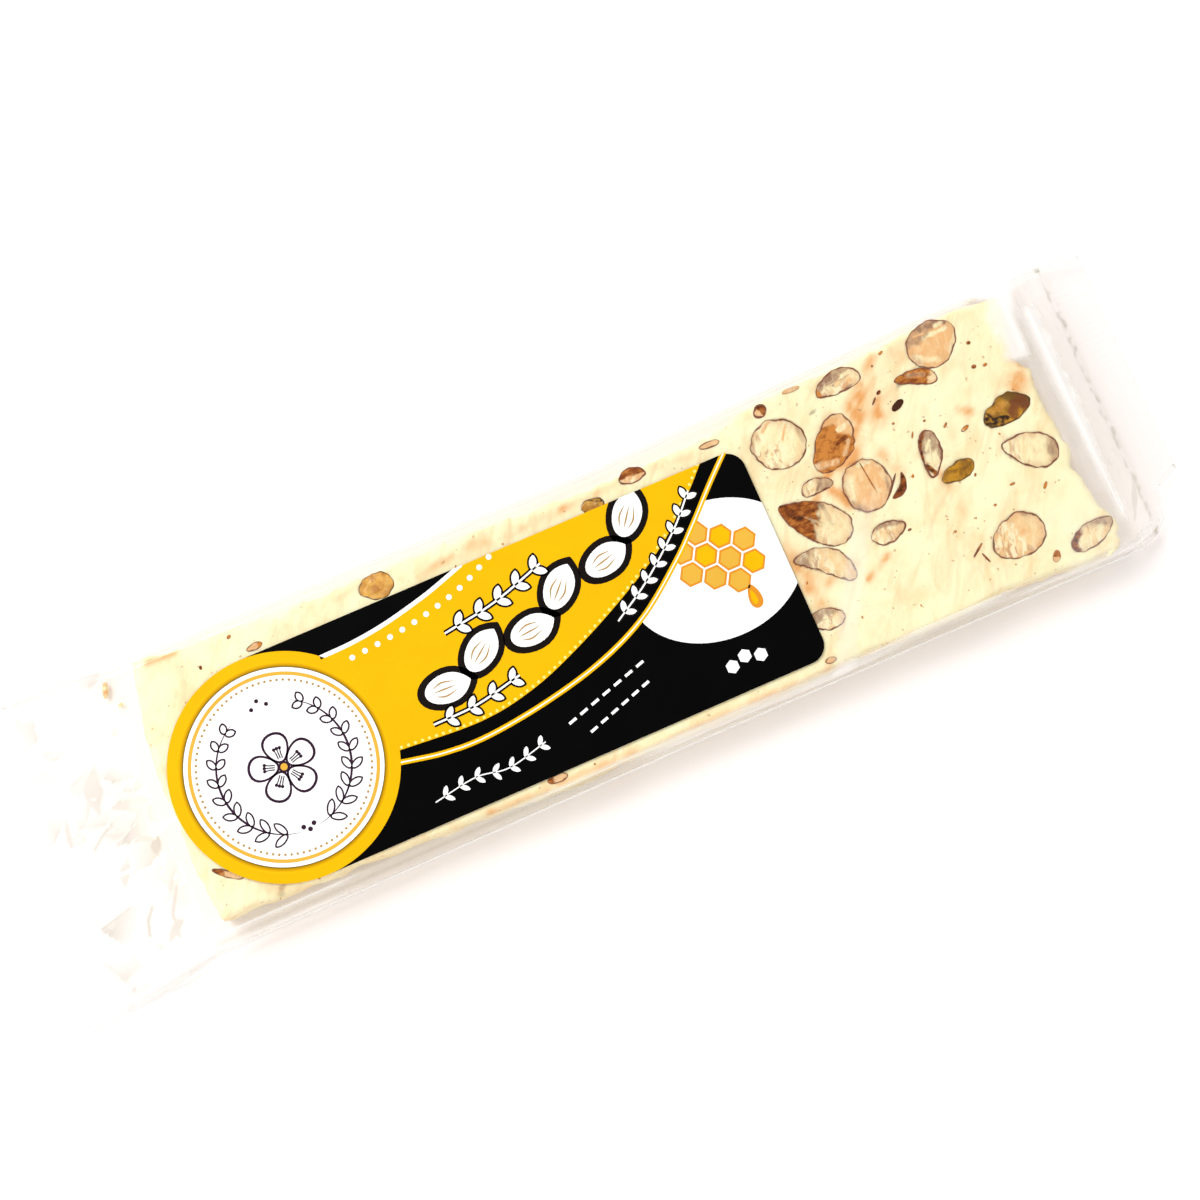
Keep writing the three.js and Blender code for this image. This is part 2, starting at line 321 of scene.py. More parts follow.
def film_material():
    """Clear film: see-through face on, glossy at a slant, white where creases are hazy and where highlights
    are painted, and greyed where shade is painted.
    """
    n = Nodes("film")
    n.tree.nodes.remove(n.shader)
    ripples = n.bump(n.noise(3, detail=3), 0.03, 0.4)
    facing = n.add("ShaderNodeLayerWeight", Blend=0.5, Normal=ripples).outputs["Facing"]
    grazing = n.math("POWER", facing, 4.0)
    share = n.math("MULTIPLY_ADD", grazing, 0.7, 0.03)
    gloss = n.add("ShaderNodeBsdfGlossy", Color=(1, 1, 1, 1), Roughness=0.05, Normal=ripples)
    tint = n.mix(grazing, (0.995, 0.994, 0.992), (0.9, 0.88, 0.85))
    # The transparent colour turns grey where shade is painted on the film
    clear = n.add("ShaderNodeBsdfTransparent", Color=n.mix(n.attribute("painted_shade"), tint, (0.66, 0.645, 0.58)))
    both = n.mix_shaders(share, clear.outputs["BSDF"], gloss.outputs["BSDF"])
    # White diffuse film: haze of creased film, and painted highlights where the film would catch the light
    haze_and_highlight = n.add("ShaderNodeBsdfDiffuse", Color=(0.96, 0.95, 0.94, 1))
    through = n.add("ShaderNodeBsdfTranslucent", Color=(0.96, 0.95, 0.94, 1))
    white_shader = n.mix_shaders(0.12, haze_and_highlight.outputs["BSDF"], through.outputs["BSDF"])
    n.tree.links.new(n.mix_shaders(n.attribute("haze_and_highlight"), both, white_shader), n.output.inputs["Surface"])
    return n.material


def ink_material(name, colour, variation=0.06, specular=0.35):
    """Glossy printed sticker, with a slight unevenness in colour and surface."""
    n = Nodes(name)
    darker = tuple(c * (1 - variation) for c in colour)
    n.principled(Base_Color=n.ramp(n.noise(9, detail=3), (0.35, darker), (0.65, colour)), Roughness=0.22,
                 Specular_IOR_Level=specular)
    n.principled(Normal=n.bump(n.noise(2.5, detail=2), 0.02, 0.25))
    return n.material


def shaded_ink_material(colour, edge, radii):
    """Yellow of the badge, darkest at the rim of its white disc."""
    n = Nodes("ink_shaded")
    middle = n.add("ShaderNodeVectorMath", {"operation": "SUBTRACT"},
                   **{"0": n.place(), "1": (LABEL_CENTRE[0], LABEL_CENTRE[1], LABEL_TOP)}).outputs["Vector"]
    radius = n.add("ShaderNodeVectorMath", {"operation": "LENGTH"}, **{"0": middle}).outputs["Value"]
    steps = {"0": radius, "1": radii[0], "2": radii[1]}
    outward = n.add("ShaderNodeMapRange", **steps).outputs["Result"]
    halfway = tuple((a + b) / 2 for a, b in zip(edge, colour))
    n.principled(Base_Color=n.ramp(outward, (0.0, edge), (0.35, halfway), (1.0, colour)),
                 Roughness=0.22, Specular_IOR_Level=0.35)
    n.principled(Normal=n.bump(n.noise(2.5, detail=2), 0.02, 0.25))
    return n.material


def floor_material():
    n = Nodes("floor")
    tint = n.ramp(n.noise(60, detail=2), (0.3, (0.96, 0.908, 0.892)), (0.7, (0.97, 0.918, 0.902)))
    n.principled(Base_Color=tint, Roughness=0.8, Specular_IOR_Level=0.1)
    return n.material


LABEL_CENTRE = (-59.4, -1.6)
LABEL_RADIUS = 20.0
WHITE_RADIUS = 17.2
YELLOW = (0.85, 0.45, 0.001)
INKS = {
    "black": ink_material("ink_black", (0.0016, 0.0014, 0.0014), 0.3, 0.16),
    "yellow": ink_material("ink_yellow", YELLOW),
    "shaded": shaded_ink_material(YELLOW, (0.1, 0.05, 0.001), (WHITE_RADIUS, WHITE_RADIUS + 0.9)),
    "amber": ink_material("ink_amber", (0.72, 0.27, 0.02)),
    "gold": ink_material("ink_gold", (0.75, 0.42, 0.05)),
    "dot": ink_material("ink_dot", (0.45, 0.26, 0.08)),
    "white": ink_material("ink_white", (0.93, 0.93, 0.92), 0.02),
    "pale": ink_material("ink_pale", (0.92, 0.75, 0.2), 0.02),
    "plum": ink_material("ink_plum", (0.035, 0.012, 0.03), 0.2),
    "brown": ink_material("ink_brown", (0.008, 0.005, 0.004), 0.3),
}
INK_ORDER = list(INKS)

# Nuts. The outline of each comes from its CAD solid: the rim of its cut face


def cut_rim(node):
    """Rim of a nut's cut face as a smooth closed loop of points."""
    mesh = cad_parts[node].data
    corners = [tuple((np.array(v.co[:]) / MM).round(3)) for v in mesh.vertices]
    edges = set()
    for polygon in mesh.polygons:
        face = [corners[i] for i in polygon.vertices]
        if all(c[2] > TOP_Z - 0.01 for c in face):
            edges.update(zip(face, face[1:] + face[:1]))
    following = {a: b for a, b in edges if (b, a) not in edges}
    loop = [next(iter(sorted(following)))]
    while len(loop) < len(following):
        loop.append(following[loop[-1]])
    return smooth_loop(np.array(loop)[:, :2], NUT_ANGLES)


def smooth_loop(points, count):
    """Closed curve through points, with count points on it."""
    share = np.arange(count) * len(points) / count
    k = share.astype(int)
    t = (share - k)[:, None]
    a, b, c, d = (points[(k + step) % len(points)] for step in (-1, 0, 1, 2))
    return 0.5 * (2 * b + (c - a) * t + (2 * a - 5 * b + 4 * c - d) * t**2 + (3 * b - a - 3 * c + d) * t**3)


def depth_inside(x, y, loop):
    """Distance of points from a closed outline, positive inside it."""
    a, b = loop, np.roll(loop, -1, axis=0)
    run, rise = (b - a).T
    px, py = np.asarray(x)[..., None], np.asarray(y)[..., None]
    t = np.clip(((px - a[:, 0]) * run + (py - a[:, 1]) * rise) / (run**2 + rise**2), 0, 1)
    gap = np.hypot(px - a[:, 0] - t * run, py - a[:, 1] - t * rise).min(axis=-1)
    straddles = (a[:, 1] > py) != (b[:, 1] > py)
    crossing = straddles & (px < a[:, 0] + (py - a[:, 1]) * run / (rise + 1e-12))
    return np.where(crossing.sum(axis=-1) % 2 == 1, gap, -gap)


def spine_of(loop):
    """For each rim point, the place on the nut's middle line that it shrinks toward."""
    middle = loop.mean(axis=0)
    offset = loop - middle
    axes = np.linalg.eigh(offset.T @ offset)[1]
    t, s = offset @ axes[:, 1], offset @ axes[:, 0]
    order = np.roll(np.arange(len(loop)), -int(np.argmin(t)))
    turn = int(np.argmax(t[order]))
    one, other = order[: turn + 1], np.append(order[turn:], order[0])[::-1]
    half = (t.max() - t.min()) / 2
    shrunk = t * max(0.15, 1 - np.ptp(s) / (2 * half))
    between = (np.interp(shrunk, t[one], s[one]) + np.interp(shrunk, t[other], s[other])) / 2
    return middle + shrunk[:, None] * axes[:, 1] + between[:, None] * axes[:, 0]


def slab_height(x, y):
    """Height of the slab's cut face away from its edges and pits."""
    return SLAB_TOP + 0.04 * fractal(x, y, 9, 14, 3) + 0.02 * fractal(np.asarray(x) * 0.3, y, 1.5, 15, 3)


NUT_RINGS = np.array([0.08, 0.17, 0.26, 0.35, 0.44, 0.53, 0.61, 0.69, 0.76, 0.82, 0.87, 0.91, 0.94, 0.965,
                      0.985, 1.0])
NUT_ANGLES = 96
NUT_FOOT = 1.4
# Height of the cut faces over the slab, of the nuts and of the small bits
NUT_LEVEL = 0.08
BIT_LEVEL = 0.13

# For each nut: warmth of its kernel, width of its brown rim, direction and share of the torn brown
# skin and how warm that is, direction and share of the dull grey-brown side, share of flaky kernel
NUT_LOOKS = {
    "almond_01": (0.6, 0.4, 0, 0, 0, 108, 0.27, 0.08),
    "almond_02": (0.8, 0.4, 156, 0.8, 0.5, 0, 0, 0.6),
    "almond_03": (0.15, 0.45, 210, 0.1, 0.6, 110, 0.5, 0.6),
    "almond_04": (-0.1, 0.5, 0, 0, 0, 170, 0.05, 0.5),
    "almond_05": (0.9, 0.4, 215, 0.78, 0.8, 0, 0, 0.5),
    "almond_06": (0.45, 0.42, 0, 0, 0, 200, 0.14, 0),
    "almond_07": (0.5, 0.4, 0, 1, -0.3, 0, 0, 0),
    "almond_08": (0.1, 0.45, 0, 0, 0, -10, 0.5, 0.6),
    "almond_09": (0.1, 0.42, 150, 0.56, 0, 0, 0, 0.5),
    "almond_10": (0.2, 0.42, 0, 0, 0, 80, 0.3, 0.8),
    "almond_11": (0.2, 0.4, 0, 0, 0, 150, 0.3, 0.6),
    "almond_12": (0.05, 0.42, 0, 0, 0, 100, 0.4, 0.8),
    "almond_13": (0.05, 0.45, 0, 0, 0, -20, 0.2, 0.25),
    "almond_14": (0, 0.6, 150, 0.24, -0.15, 100, 0.5, 0.5),
    "almond_15": (0.35, 0.45, 0, 0, 0, 60, 0.08, 0.55),
    "almond_16": (0.05, 0.42, 158, 0.22, -0.2, 60, 0.3, 0.6),
    "almond_17": (0.6, 0.42, 90, 0.5, 0.3, 0, 0, 0.5),
    "pistachio_1": (0.15, 0.4, 215, 0.24, 0, 40, 0.3, 0),
    "pistachio_2": (0.1, 0.3, 0, 0, 0, 0, 0, 0),
    "pistachio_3": (0.6, 0.3, 60, 0.3, 0, 0, 0, 0),
    "pistachio_4": (0.85, 0.3, 0, 0, 0, 0, 0, 0),
}


# Patches of another look on the cut faces: ends of a line along each, its width, and what it changes
PATCHES = {
    "almond_01": (
        ((72.8, 25.2), (75.7, 25.2), 0.6, {"shade": 1.3}),
        ((76.7, 25.9), (78.3, 24.6), 0.9, {"shade": 1.4}),
        ((76.6, 24.6), (77.8, 24.8), 0.6, {"shade": 0, "tone": -0.5}),
        ((72.1, 24.3), (74, 24.2), 0.4, {"shade": 0}), ((73.3, 23.4), (78.2, 23.6), 0.7, {"tone": 0}),
        ((70.5, 20.6), (74.5, 18.9), 1.2, {"tone": 0.15}), ((79, 21.7), (77.4, 19.4), 0.9, {"tone": 0.1}),
    ),
    "almond_02": (
        ((68.3, 18.3), (71, 17.4), 0.7, {"skin": 0.2, "shade": 1.2}),
        ((72.1, 16.3), (73, 16.3), 0.9, {"skin": 0, "tone": 0.1}),
    ),
    "almond_03": (
        ((57.5, 22.9), (59.8, 23.3), 0.9, {"shade": 0, "tone": -0.2}),
        ((56, 22), (57.3, 22.6), 0.7, {"shade": 0}), ((57, 21), (58.5, 21.7), 0.7, {"tone": 0.9}),
        ((53.2, 21.4), (54.5, 21.7), 1.2, {"shade": 0.1}),
        ((55.6, 19.9), (58.4, 20.8), 0.5, {"shade": 0.9}), ((53.7, 23), (56.9, 24), 0.9, {"shade": 1.3}),
    ),
    "almond_04": (
        ((46.3, 17.6), (46.4, 15), 0.7, {"shade": 0.6}), ((40.4, 19.3), (42.1, 20.5), 0.5, {"tone": 0.8}),
        ((43.1, 16.6), (44.7, 18.8), 0.4, {"tone": 0.6}),
        ((40.4, 14.8), (42.1, 16.1), 0.4, {"tone": 0.6}),
    ),
    "almond_05": (
        ((53, 14.3), (55.3, 14.9), 0.9, {"skin": 0, "tone": 0}),
        ((53.8, 11.8), (52.2, 9.8), 0.7, {"skin": 0.2}), ((50.5, 11.9), (53.7, 12.6), 0.7, {"warm": 0}),
        ((46.2, 9.8), (50.3, 9.2), 1.2, {"skin": 0.4}), ((50.8, 16.2), (53.1, 16.2), 0.9, {"skin": 0.2}),
    ),
    "almond_06": (
        ((51.2, 5.7), (49.9, 1.6), 1.4, {"tone": 0.1}), ((53.7, 7.2), (55.4, 7), 0.9, {"tone": -0.2}),
        ((57.2, 3.1), (56.8, 0.6), 0.6, {"shade": 0.8}), ((55, 6), (56.2, 1.7), 1.4, {"tone": 0.8}),
    ),
    "almond_08": (
        ((43.2, 6.5), (44.7, 7.3), 0.9, {"tone": -0.5, "shade": 0}),
        ((45, 5.9), (45.9, 6.8), 0.5, {"shade": 1.2}),
    ),
    "almond_09": (
        ((44.8, 3.2), (45, -0.7), 0.7, {"shade": 0.4}), ((38, 6.1), (40.2, 2.3), 1.2, {"warm": -0.25}),
    ),
    "almond_14": (
        ((64.6, 2.2), (65.6, 0.6), 0.9, {"skin": 1}), ((65, 6.1), (64.4, 3.1), 0.6, {"skin": 1}),
        ((68, 5.6), (67.8, 2.6), 0.7, {"shade": 1}), ((67, 6.2), (65.8, 4.9), 0.5, {"shade": 0}),
    ),
    "pistachio_1": (
        ((82.9, 5), (84, 6.2), 1.9, {"warm": 0.8}), ((85.4, 7), (85.6, 5.2), 1.7, {"warm": 0.75}),
        # The skin patch toward the lower left is a near-black spot of painted shade in a small hollow
        ((81.1, 6.8), (83, 7.4), 1.3, {"tone": 0.6}), ((79, 4.9), (81.5, 4.6), 0.9, {"skin": 1.3}),
        ((78.4, 6.2), (79.4, 6.3), 0.9, {"tone": 0.5}),
    ),
}

# Dents in the outlines: place, width and depth of each
DENTS = {"pistachio_1": ((79.6, 8.4), 1.1, 0.75), "almond_05": ((55.2, 12.4), 0.6, 0.5)}


def dented(loop, place, width, depth):
    inward = spine_of(loop) - loop
    inward /= np.hypot(*inward.T)[:, None]
    near = np.exp(-(np.hypot(*(loop - place).T) / width) ** 2)
    return loop + depth * near[:, None] * inward


def nut_mesh(loop, seed, look, level=NUT_LEVEL, patches=()):
    """Cut nut: a flat face with uneven rim, and a tapered foot sunk in the slab."""
    tone, rim_width, skin_turn, skin_share, warm, shade_turn, shade_share, flaky_share = look
    spine = spine_of(loop)
    outward = loop - spine
    wave = 0.18 * noise(*loop.T, 1.6, seed) + 0.15 * noise(*loop.T, 0.8, seed + 1)
    wave *= np.minimum(1, np.hypot(*outward.T) / 1.5)
    rim = loop + outward / np.hypot(*outward.T)[:, None] * wave[:, None]
    x, y = (spine[None] + NUT_RINGS[:, None, None] * (rim - spine)[None]).transpose(2, 0, 1)
    inside = depth_inside(x, y, rim)
    inside[-1] = 0
    grain = noise(x, y, 1.1, seed + 3) + 0.5 * noise(x, y, 0.45, seed + 4)
    edge = rim_width * np.maximum(0.2, 0.62 + 0.5 * grain)
    brown = 1 - smoothstep(edge * 0.5, edge, inside)

    def side(turn, share, soft):
        """Ragged share of the face that lies toward a direction in degrees."""
        middle = rim.mean(axis=0)
        ahead = along_across(x, y, *middle, turn)[0]
        reach = along_across(*rim.T, *middle, turn)[0].max()
        limit = 1 - 2 * share
        ragged = ahead / reach + 0.16 * fractal(x, y, 1.6, seed + 7, 3)
        return smoothstep(limit - soft, limit + soft, ragged) * (share > 0)

    skin = side(skin_turn, skin_share, 0.08) if skin_share < 1 else np.ones_like(x)
    shade = 0.85 * side(shade_turn, shade_share, 0.15)
    flaky = np.maximum(0.25, side(200, flaky_share, 0.25))
    z = slab_height(x, y) + level + 0.02 * fractal(x, y, 1.4, seed + 5, 3) - 0.02 * skin
    z = z - 0.04 * smoothstep(0.1, 0.0, inside)
    feet = rim.mean(axis=0) + (rim - rim.mean(axis=0)) * 0.8
    rings, count = x.shape
    vertices = np.vstack([np.stack([x, y, z], axis=2).reshape(-1, 3),
                          np.column_stack([feet, np.full(count, SLAB_TOP - NUT_FOOT)])])
    faces = [tuple(range(count))]
    faces += stacked_rings(rings, count)
    faces.append(tuple(range(rings * count + count - 1, rings * count - 1, -1)))
    looks = {"rim": brown, "skin": skin, "shade": shade, "tone": x * 0 + tone, "warm": x * 0 + warm,
             "inside": np.clip(inside / 5, 0, 1), "flaky": flaky}
    for a, b, width, changes in patches:
        spread = segment_distance(x, y, a, b) / width * 2 + 0.35 * fractal(x, y, 1.1, seed + 9, 3)
        for name, value in changes.items():
            looks[name] = looks[name] + (value - looks[name]) * smoothstep(1.35, 0.75, spread)
    ends = {"rim": 1.0, "skin": 0.0, "shade": 0.0, "tone": tone, "warm": warm, "inside": 0.0, "flaky": 0.0}
    return vertices, faces, {k: np.append(v.ravel(), np.full(count, ends[k])) for k, v in looks.items()}


def ring_faces(inner, outer, count):
    """Quads between two rings of points, facing up when the outer ring is the second."""
    k = np.arange(count)
    after = (k + 1) % count
    return np.stack([inner + k, outer + k, outer + after, inner + after], axis=1)


def stacked_rings(steps, count):
    """Quads between each ring of a stack and the next."""
    return [tuple(f) for k in range(steps) for f in ring_faces(k * count, (k + 1) * count, count)]


def join_parts(parts):
    """One vertex list and one face list from several (vertices, faces, ...) parts."""
    vertices, faces, start = [], [], 0
    for part in parts:
        vertices.append(part[0])
        faces += [tuple(v + start for v in face) for face in part[1]]
        start += len(part[0])
    return np.vstack(vertices), faces


NOUGAT = nougat_material()
ALMOND = almond_material()
PISTACHIO = pistachio_material()
nut_rims = {}


def build_nuts():
    names = sorted(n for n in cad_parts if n.startswith(("almond", "pistachio")))
    for number, node in enumerate(names):
        nut_rims[node] = dented(cut_rim(node), *DENTS[node]) if node in DENTS else cut_rim(node)
        vertices, faces, looks = nut_mesh(nut_rims[node], number + 1, NUT_LOOKS[node],
                                          patches=PATCHES.get(node, ()))
        made = make_object(f"{node}_cut", vertices, faces, [ALMOND if "almond" in node else PISTACHIO])
        for name, values in looks.items():
            set_attribute(made, name, values)
        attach(made, "root")
        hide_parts(node)


# Bits of almond and skin too small for solids of their own, and one near-black oval of painted shade
# in a pit: place, length, width, turn, rim width, share of skin and its warmth
BITS = (
    (41.4, 22.9, 2.6, 2.3, 30, 0.7, 0.55, -0.1), (48.1, 24.2, 3.3, 0.8, 178, 0.08, 0, 0.3),
    (30.8, 20.9, 3.8, 1.3, 178, 0.3, 0.1, 0.4), (79.2, -21.5, 2.2, 1.4, 60, 0.1, 0.6, 0.4),
    (-75.3, -14.6, 5.7, 1.4, 142, 0.35, 0.3, 0.4), (-17.1, -22.2, 3.6, 1.5, 178, 0.3, 0.3, 0.5),
    (-56, 19.6, 3, 1.2, 4, 0.3, 0.3, 0.5), (34.9, -22.4, 2.1, 1.1, 177, 0.3, 0.2, 0.5),
    (57.7, 1.6, 4.4, 0.4, 50, 0.3, 1, 0.3), (66.8, -15, 3.1, 0.42, 36, 0.3, 1, 0.2),
    (67.6, -16.8, 2.1, 0.38, 290, 0.3, 1, 0.2), (62.3, 17.6, 1, 0.6, 30, 0.15, 1, -0.2),
    (60.9, 16.5, 1.5, 0.35, 45, 0.2, 1, 0.4), (57.2, -6.9, 0.7, 0.4, 0, 0.3, 0.9, 0.4),
    (73.8, 5.7, 1.8, 0.8, 20, 0.2, 0.7, 0.8), (79.9, 15.2, 0.9, 0.7, 0, 0.2, 0.9, 0.3),
    # The first bit on the next line is the near-black oval of painted shade in a pit
    (64.5, 14.2, 2.7, 1.3, 25, 0.05, 1, -2), (70.8, 7.6, 1.2, 0.5, 40, 0.1, 0.9, 1),
    (81.9, 14.7, 0.9, 0.6, 10, 0.1, 1, 0.9), (80.8, 19.5, 0.7, 0.6, 0, 0.1, 1, 0.2),
    (77.4, -6.7, 1, 0.4, 0, 0.1, 1, 1.6), (82.7, -9.2, 1.4, 0.5, 48, 0.1, 1, 0.9),
    (73, -8.9, 0.5, 0.4, 0, 0.1, 1, 0.6), (72, -2.6, 0.6, 0.35, 60, 0.1, 1, 0.5),
    (64.5, -10.4, 0.45, 0.4, 0, 0.1, 1, 0.6), (67.7, 9.8, 0.5, 0.4, 0, 0.1, 1, 0.6),
    (64.7, 8.3, 1.3, 0.35, 62, 0.1, 1, 1.2), (62.4, 11.5, 0.5, 0.4, 0, 0.1, 1, 0.9),
    (65.6, 24, 1, 0.5, 20, 0.1, 1, 1.5), (63.2, 22.4, 0.4, 0.35, 0, 0.1, 1, 0.2),
    (-59.4, 22.9, 0.9, 0.6, 30, 0.1, 1, 0.5), (-65.9, 19.9, 0.7, 0.5, 80, 0.1, 1, 0.4),
    (54.3, 4.4, 7, 0.3, -84, 0.1, 1, 1),
)


def build_bits():
    parts = []
    for number, (x, y, length, width, turn, rim_width, share, warm) in enumerate(BITS):
        around = np.linspace(0, 2 * np.pi, NUT_ANGLES, endpoint=False)
        p, q = length / 2 * np.cos(around), width / 2 * np.sin(around)
        loop = np.stack(turned(x, y, p, q, math.radians(turn)), axis=1)
        parts.append(nut_mesh(loop, 60 + number, (0.5, rim_width, turn, share, warm, 0, 0, 0), BIT_LEVEL))
    vertices, faces = join_parts(parts)
    made = make_object("almond_bits", vertices, faces, [ALMOND])
    for name in parts[0][2]:
        set_attribute(made, name, np.concatenate([p[2][name] for p in parts]))
    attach(made, "root")
    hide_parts("clear_bag")


CRUMB_COUNT = 110
CRUMB_SIDES = 10
CRUMB_X = (-78, 88)
CRUMB_Y = (-22.5, 22)
CRUMB_SUNK = 0.08
CRUMB_RISE = 0.05
CRUMB_DOME = 0.55


def build_crumbs():
    """Tiny low crumbs of skin, scattered over the cut face between the nuts."""
    random = np.random.default_rng(12)
    parts = []
    while len(parts) < CRUMB_COUNT:
        x, y = random.uniform(*CRUMB_X), random.uniform(*CRUMB_Y)
        if max(depth_inside(x, y, loop) for loop in nut_rims.values()) > -0.4:
            continue
        length, slim = 0.15 + 0.4 * random.random() ** 4, random.uniform(0.4, 0.9)
        angle = random.uniform(0, np.pi)
        around = np.linspace(0, 2 * np.pi, CRUMB_SIDES, endpoint=False)
        size = 1 + 0.25 * random.uniform(-1, 1, CRUMB_SIDES)
        p, q = length * size * np.cos(around), length * slim * size * np.sin(around)
        level = slab_height(x, y)
        outline = turned(x, y, p, q, angle)
        ring = np.column_stack([*outline, np.full(CRUMB_SIDES, level - CRUMB_SUNK)])
        small = turned(x, y, p * CRUMB_DOME, q * CRUMB_DOME, angle)
        dome = np.column_stack([*small, np.full(CRUMB_SIDES, level + CRUMB_RISE)])
        faces = [tuple(range(CRUMB_SIDES - 1, -1, -1)), tuple(range(CRUMB_SIDES, 2 * CRUMB_SIDES))]
        faces += [tuple(f) for f in ring_faces(CRUMB_SIDES, 0, CRUMB_SIDES)]
        parts.append((np.vstack([ring, dome]), faces))
    vertices, faces = join_parts(parts)
    made = make_object("skin_crumbs", vertices, faces, [ALMOND])
    for name, value in (("skin", 1.0), ("warm", 0.8)):
        set_attribute(made, name, np.full(len(vertices), value))
    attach(made, "root")
    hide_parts("clear_bag")


# Loose crumbs of nougat in the bag beside the slab: place, length, width, height, turn
LOOSE_CRUMBS = ((-83, 24, 2.6, 1, 1, 70), (-81.6, 20.6, 1, 0.6, 0.6, 20))
CRUMB_FLOOR = 0.5


def build_loose_crumbs():
    rings, count = 10, 20
    parts = []
    for number, (cx, cy, length, width, height, turn) in enumerate(LOOSE_CRUMBS):
        tilt, around = np.meshgrid(np.linspace(0, np.pi, rings)[1:-1],
                                   np.linspace(0, 2 * np.pi, count + 1)[:-1], indexing="ij")
        size = 1 + 0.22 * fractal(around * 2 + tilt * 3, tilt * 2, 1.1, 71 + number, 3)
        u = length / 2 * size * np.sin(tilt) * np.cos(around)
        v = width / 2 * size * np.sin(tilt) * np.sin(around)
        x, y = turned(cx, cy, u, v, math.radians(turn))
        z = CRUMB_FLOOR + height / 2 * (1 + size * np.cos(tilt))
        poles = [[cx, cy, CRUMB_FLOOR + height], [cx, cy, CRUMB_FLOOR]]
        vertices = np.vstack([np.stack([x, y, z], axis=2).reshape(-1, 3), poles])
        last = (rings - 3) * count
        faces = stacked_rings(rings - 3, count)
        faces += [(len(vertices) - 2, k, (k + 1) % count) for k in range(count)]
        faces += [(len(vertices) - 1, last + (k + 1) % count, last + k) for k in range(count)]
        parts.append((vertices, faces))
    vertices, faces = join_parts(parts)
    made = make_object("loose_crumbs", vertices, faces, [NOUGAT])
    set_attribute(made, "tan", np.clip(0.45 + 0.8 * noise(vertices[:, 0], vertices[:, 1], 0.7, 75), 0, 1))
    set_attribute(made, "painted_pit_shade", np.zeros(len(vertices)))
    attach(made, "root")
    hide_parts("clear_bag")


# Warm streaks in the slab: ends, width and strength
STREAKS = (
    ((59, 19.5), (49.5, 2), 1.3, 0.7), ((50.5, 14.5), (53, 17.5), 1.6, 0.35),
    ((49.2, 2.5), (47.5, 5), 0.8, 1), ((44, 4.5), (49, 8.5), 0.7, 0.8), ((58.3, 7), (60, 3), 1.2, 0.5),
    ((84.3, 8.5), (88.3, 12.4), 2.1, 0.6), ((60.8, 14), (61.5, 16.5), 0.7, 0.6),
    ((-22, 20), (-3, 20.5), 1, 0.2), ((-70, -20), (-30, -22.8), 1.2, 0.15),
    ((-30, -23), (34, -23.8), 0.6, 0.3), ((36.6, -4), (37, -12), 1.3, 0.4),
    ((-12, 20), (4, 20.6), 0.8, 0.15), ((40, -10), (46, -8), 1, 0.35), ((52, -9.5), (47, -12), 0.6, 0.5),
    ((67, -8), (66, 4), 1, 0.3), ((68, 22), (60, 14), 2.4, 0.25), ((46, 10), (40, 13), 1.6, 0.2),
    ((36, -2), (38, -14), 2.2, 0.2), ((-74, 24.3), (-69, 24.1), 0.6, 0.5),
    ((-25, 19.5), (-14, 21.5), 0.8, 0.25), ((76, 8), (74, 9.5), 0.8, 0.5), ((79, 3), (80, -2), 0.6, 0.35),
    ((-78, 6), (-77, -8), 1.2, 0.25), ((64, 24), (56, 17), 1, 0.4), ((55, 13), (51, 7), 0.9, 0.5),
    ((2, 20.6), (16, 21.2), 0.8, 0.3), ((20, 21.4), (27, 20.2), 0.9, 0.25),
    ((-40, 21.6), (-30, 22.4), 0.6, 0.2), ((50.2, 8), (53.6, 9.8), 0.5, 0.9),
    ((57, 16), (62.5, 20), 0.7, 0.3), ((71, 5), (73.5, 11), 1.2, 0.12),
)
# Small pits, sunk into the slab and darkened with painted shade: place, length, width, turn and strength
PITS = ((-68, -21, 1.2, 0.5, 60, 0.3), (50, 19, 0.8, 0.3, 20, 0.4), (66.5, 17.5, 1.2, 0.5, 30, 0.25))
SLAB_COLUMNS = 283
SLAB_ROWS = 84
WALL_ROWS = 16
SLAB_START = -79.5
SLAB_LENGTH = 169
EDGE_ROUND = 0.9
NUT_HOLLOW = 1.1
PIT_DEPTH = 1.2
STREAK_GAIN = 1.7
WALL_TAN = 0.15


def nut_depth(x, y):
    """How far inside a nut's rim each point lies, negative outside."""
    deepest = np.full(np.shape(x), -9.0)
    for loop in nut_rims.values():
        low, high = loop.min(axis=0) - 0.5, loop.max(axis=0) + 0.5
        near = (x > low[0]) & (x < high[0]) & (y > low[1]) & (y < high[1])
        deepest[near] = np.maximum(deepest[near], depth_inside(x[near], y[near], loop))
    return deepest


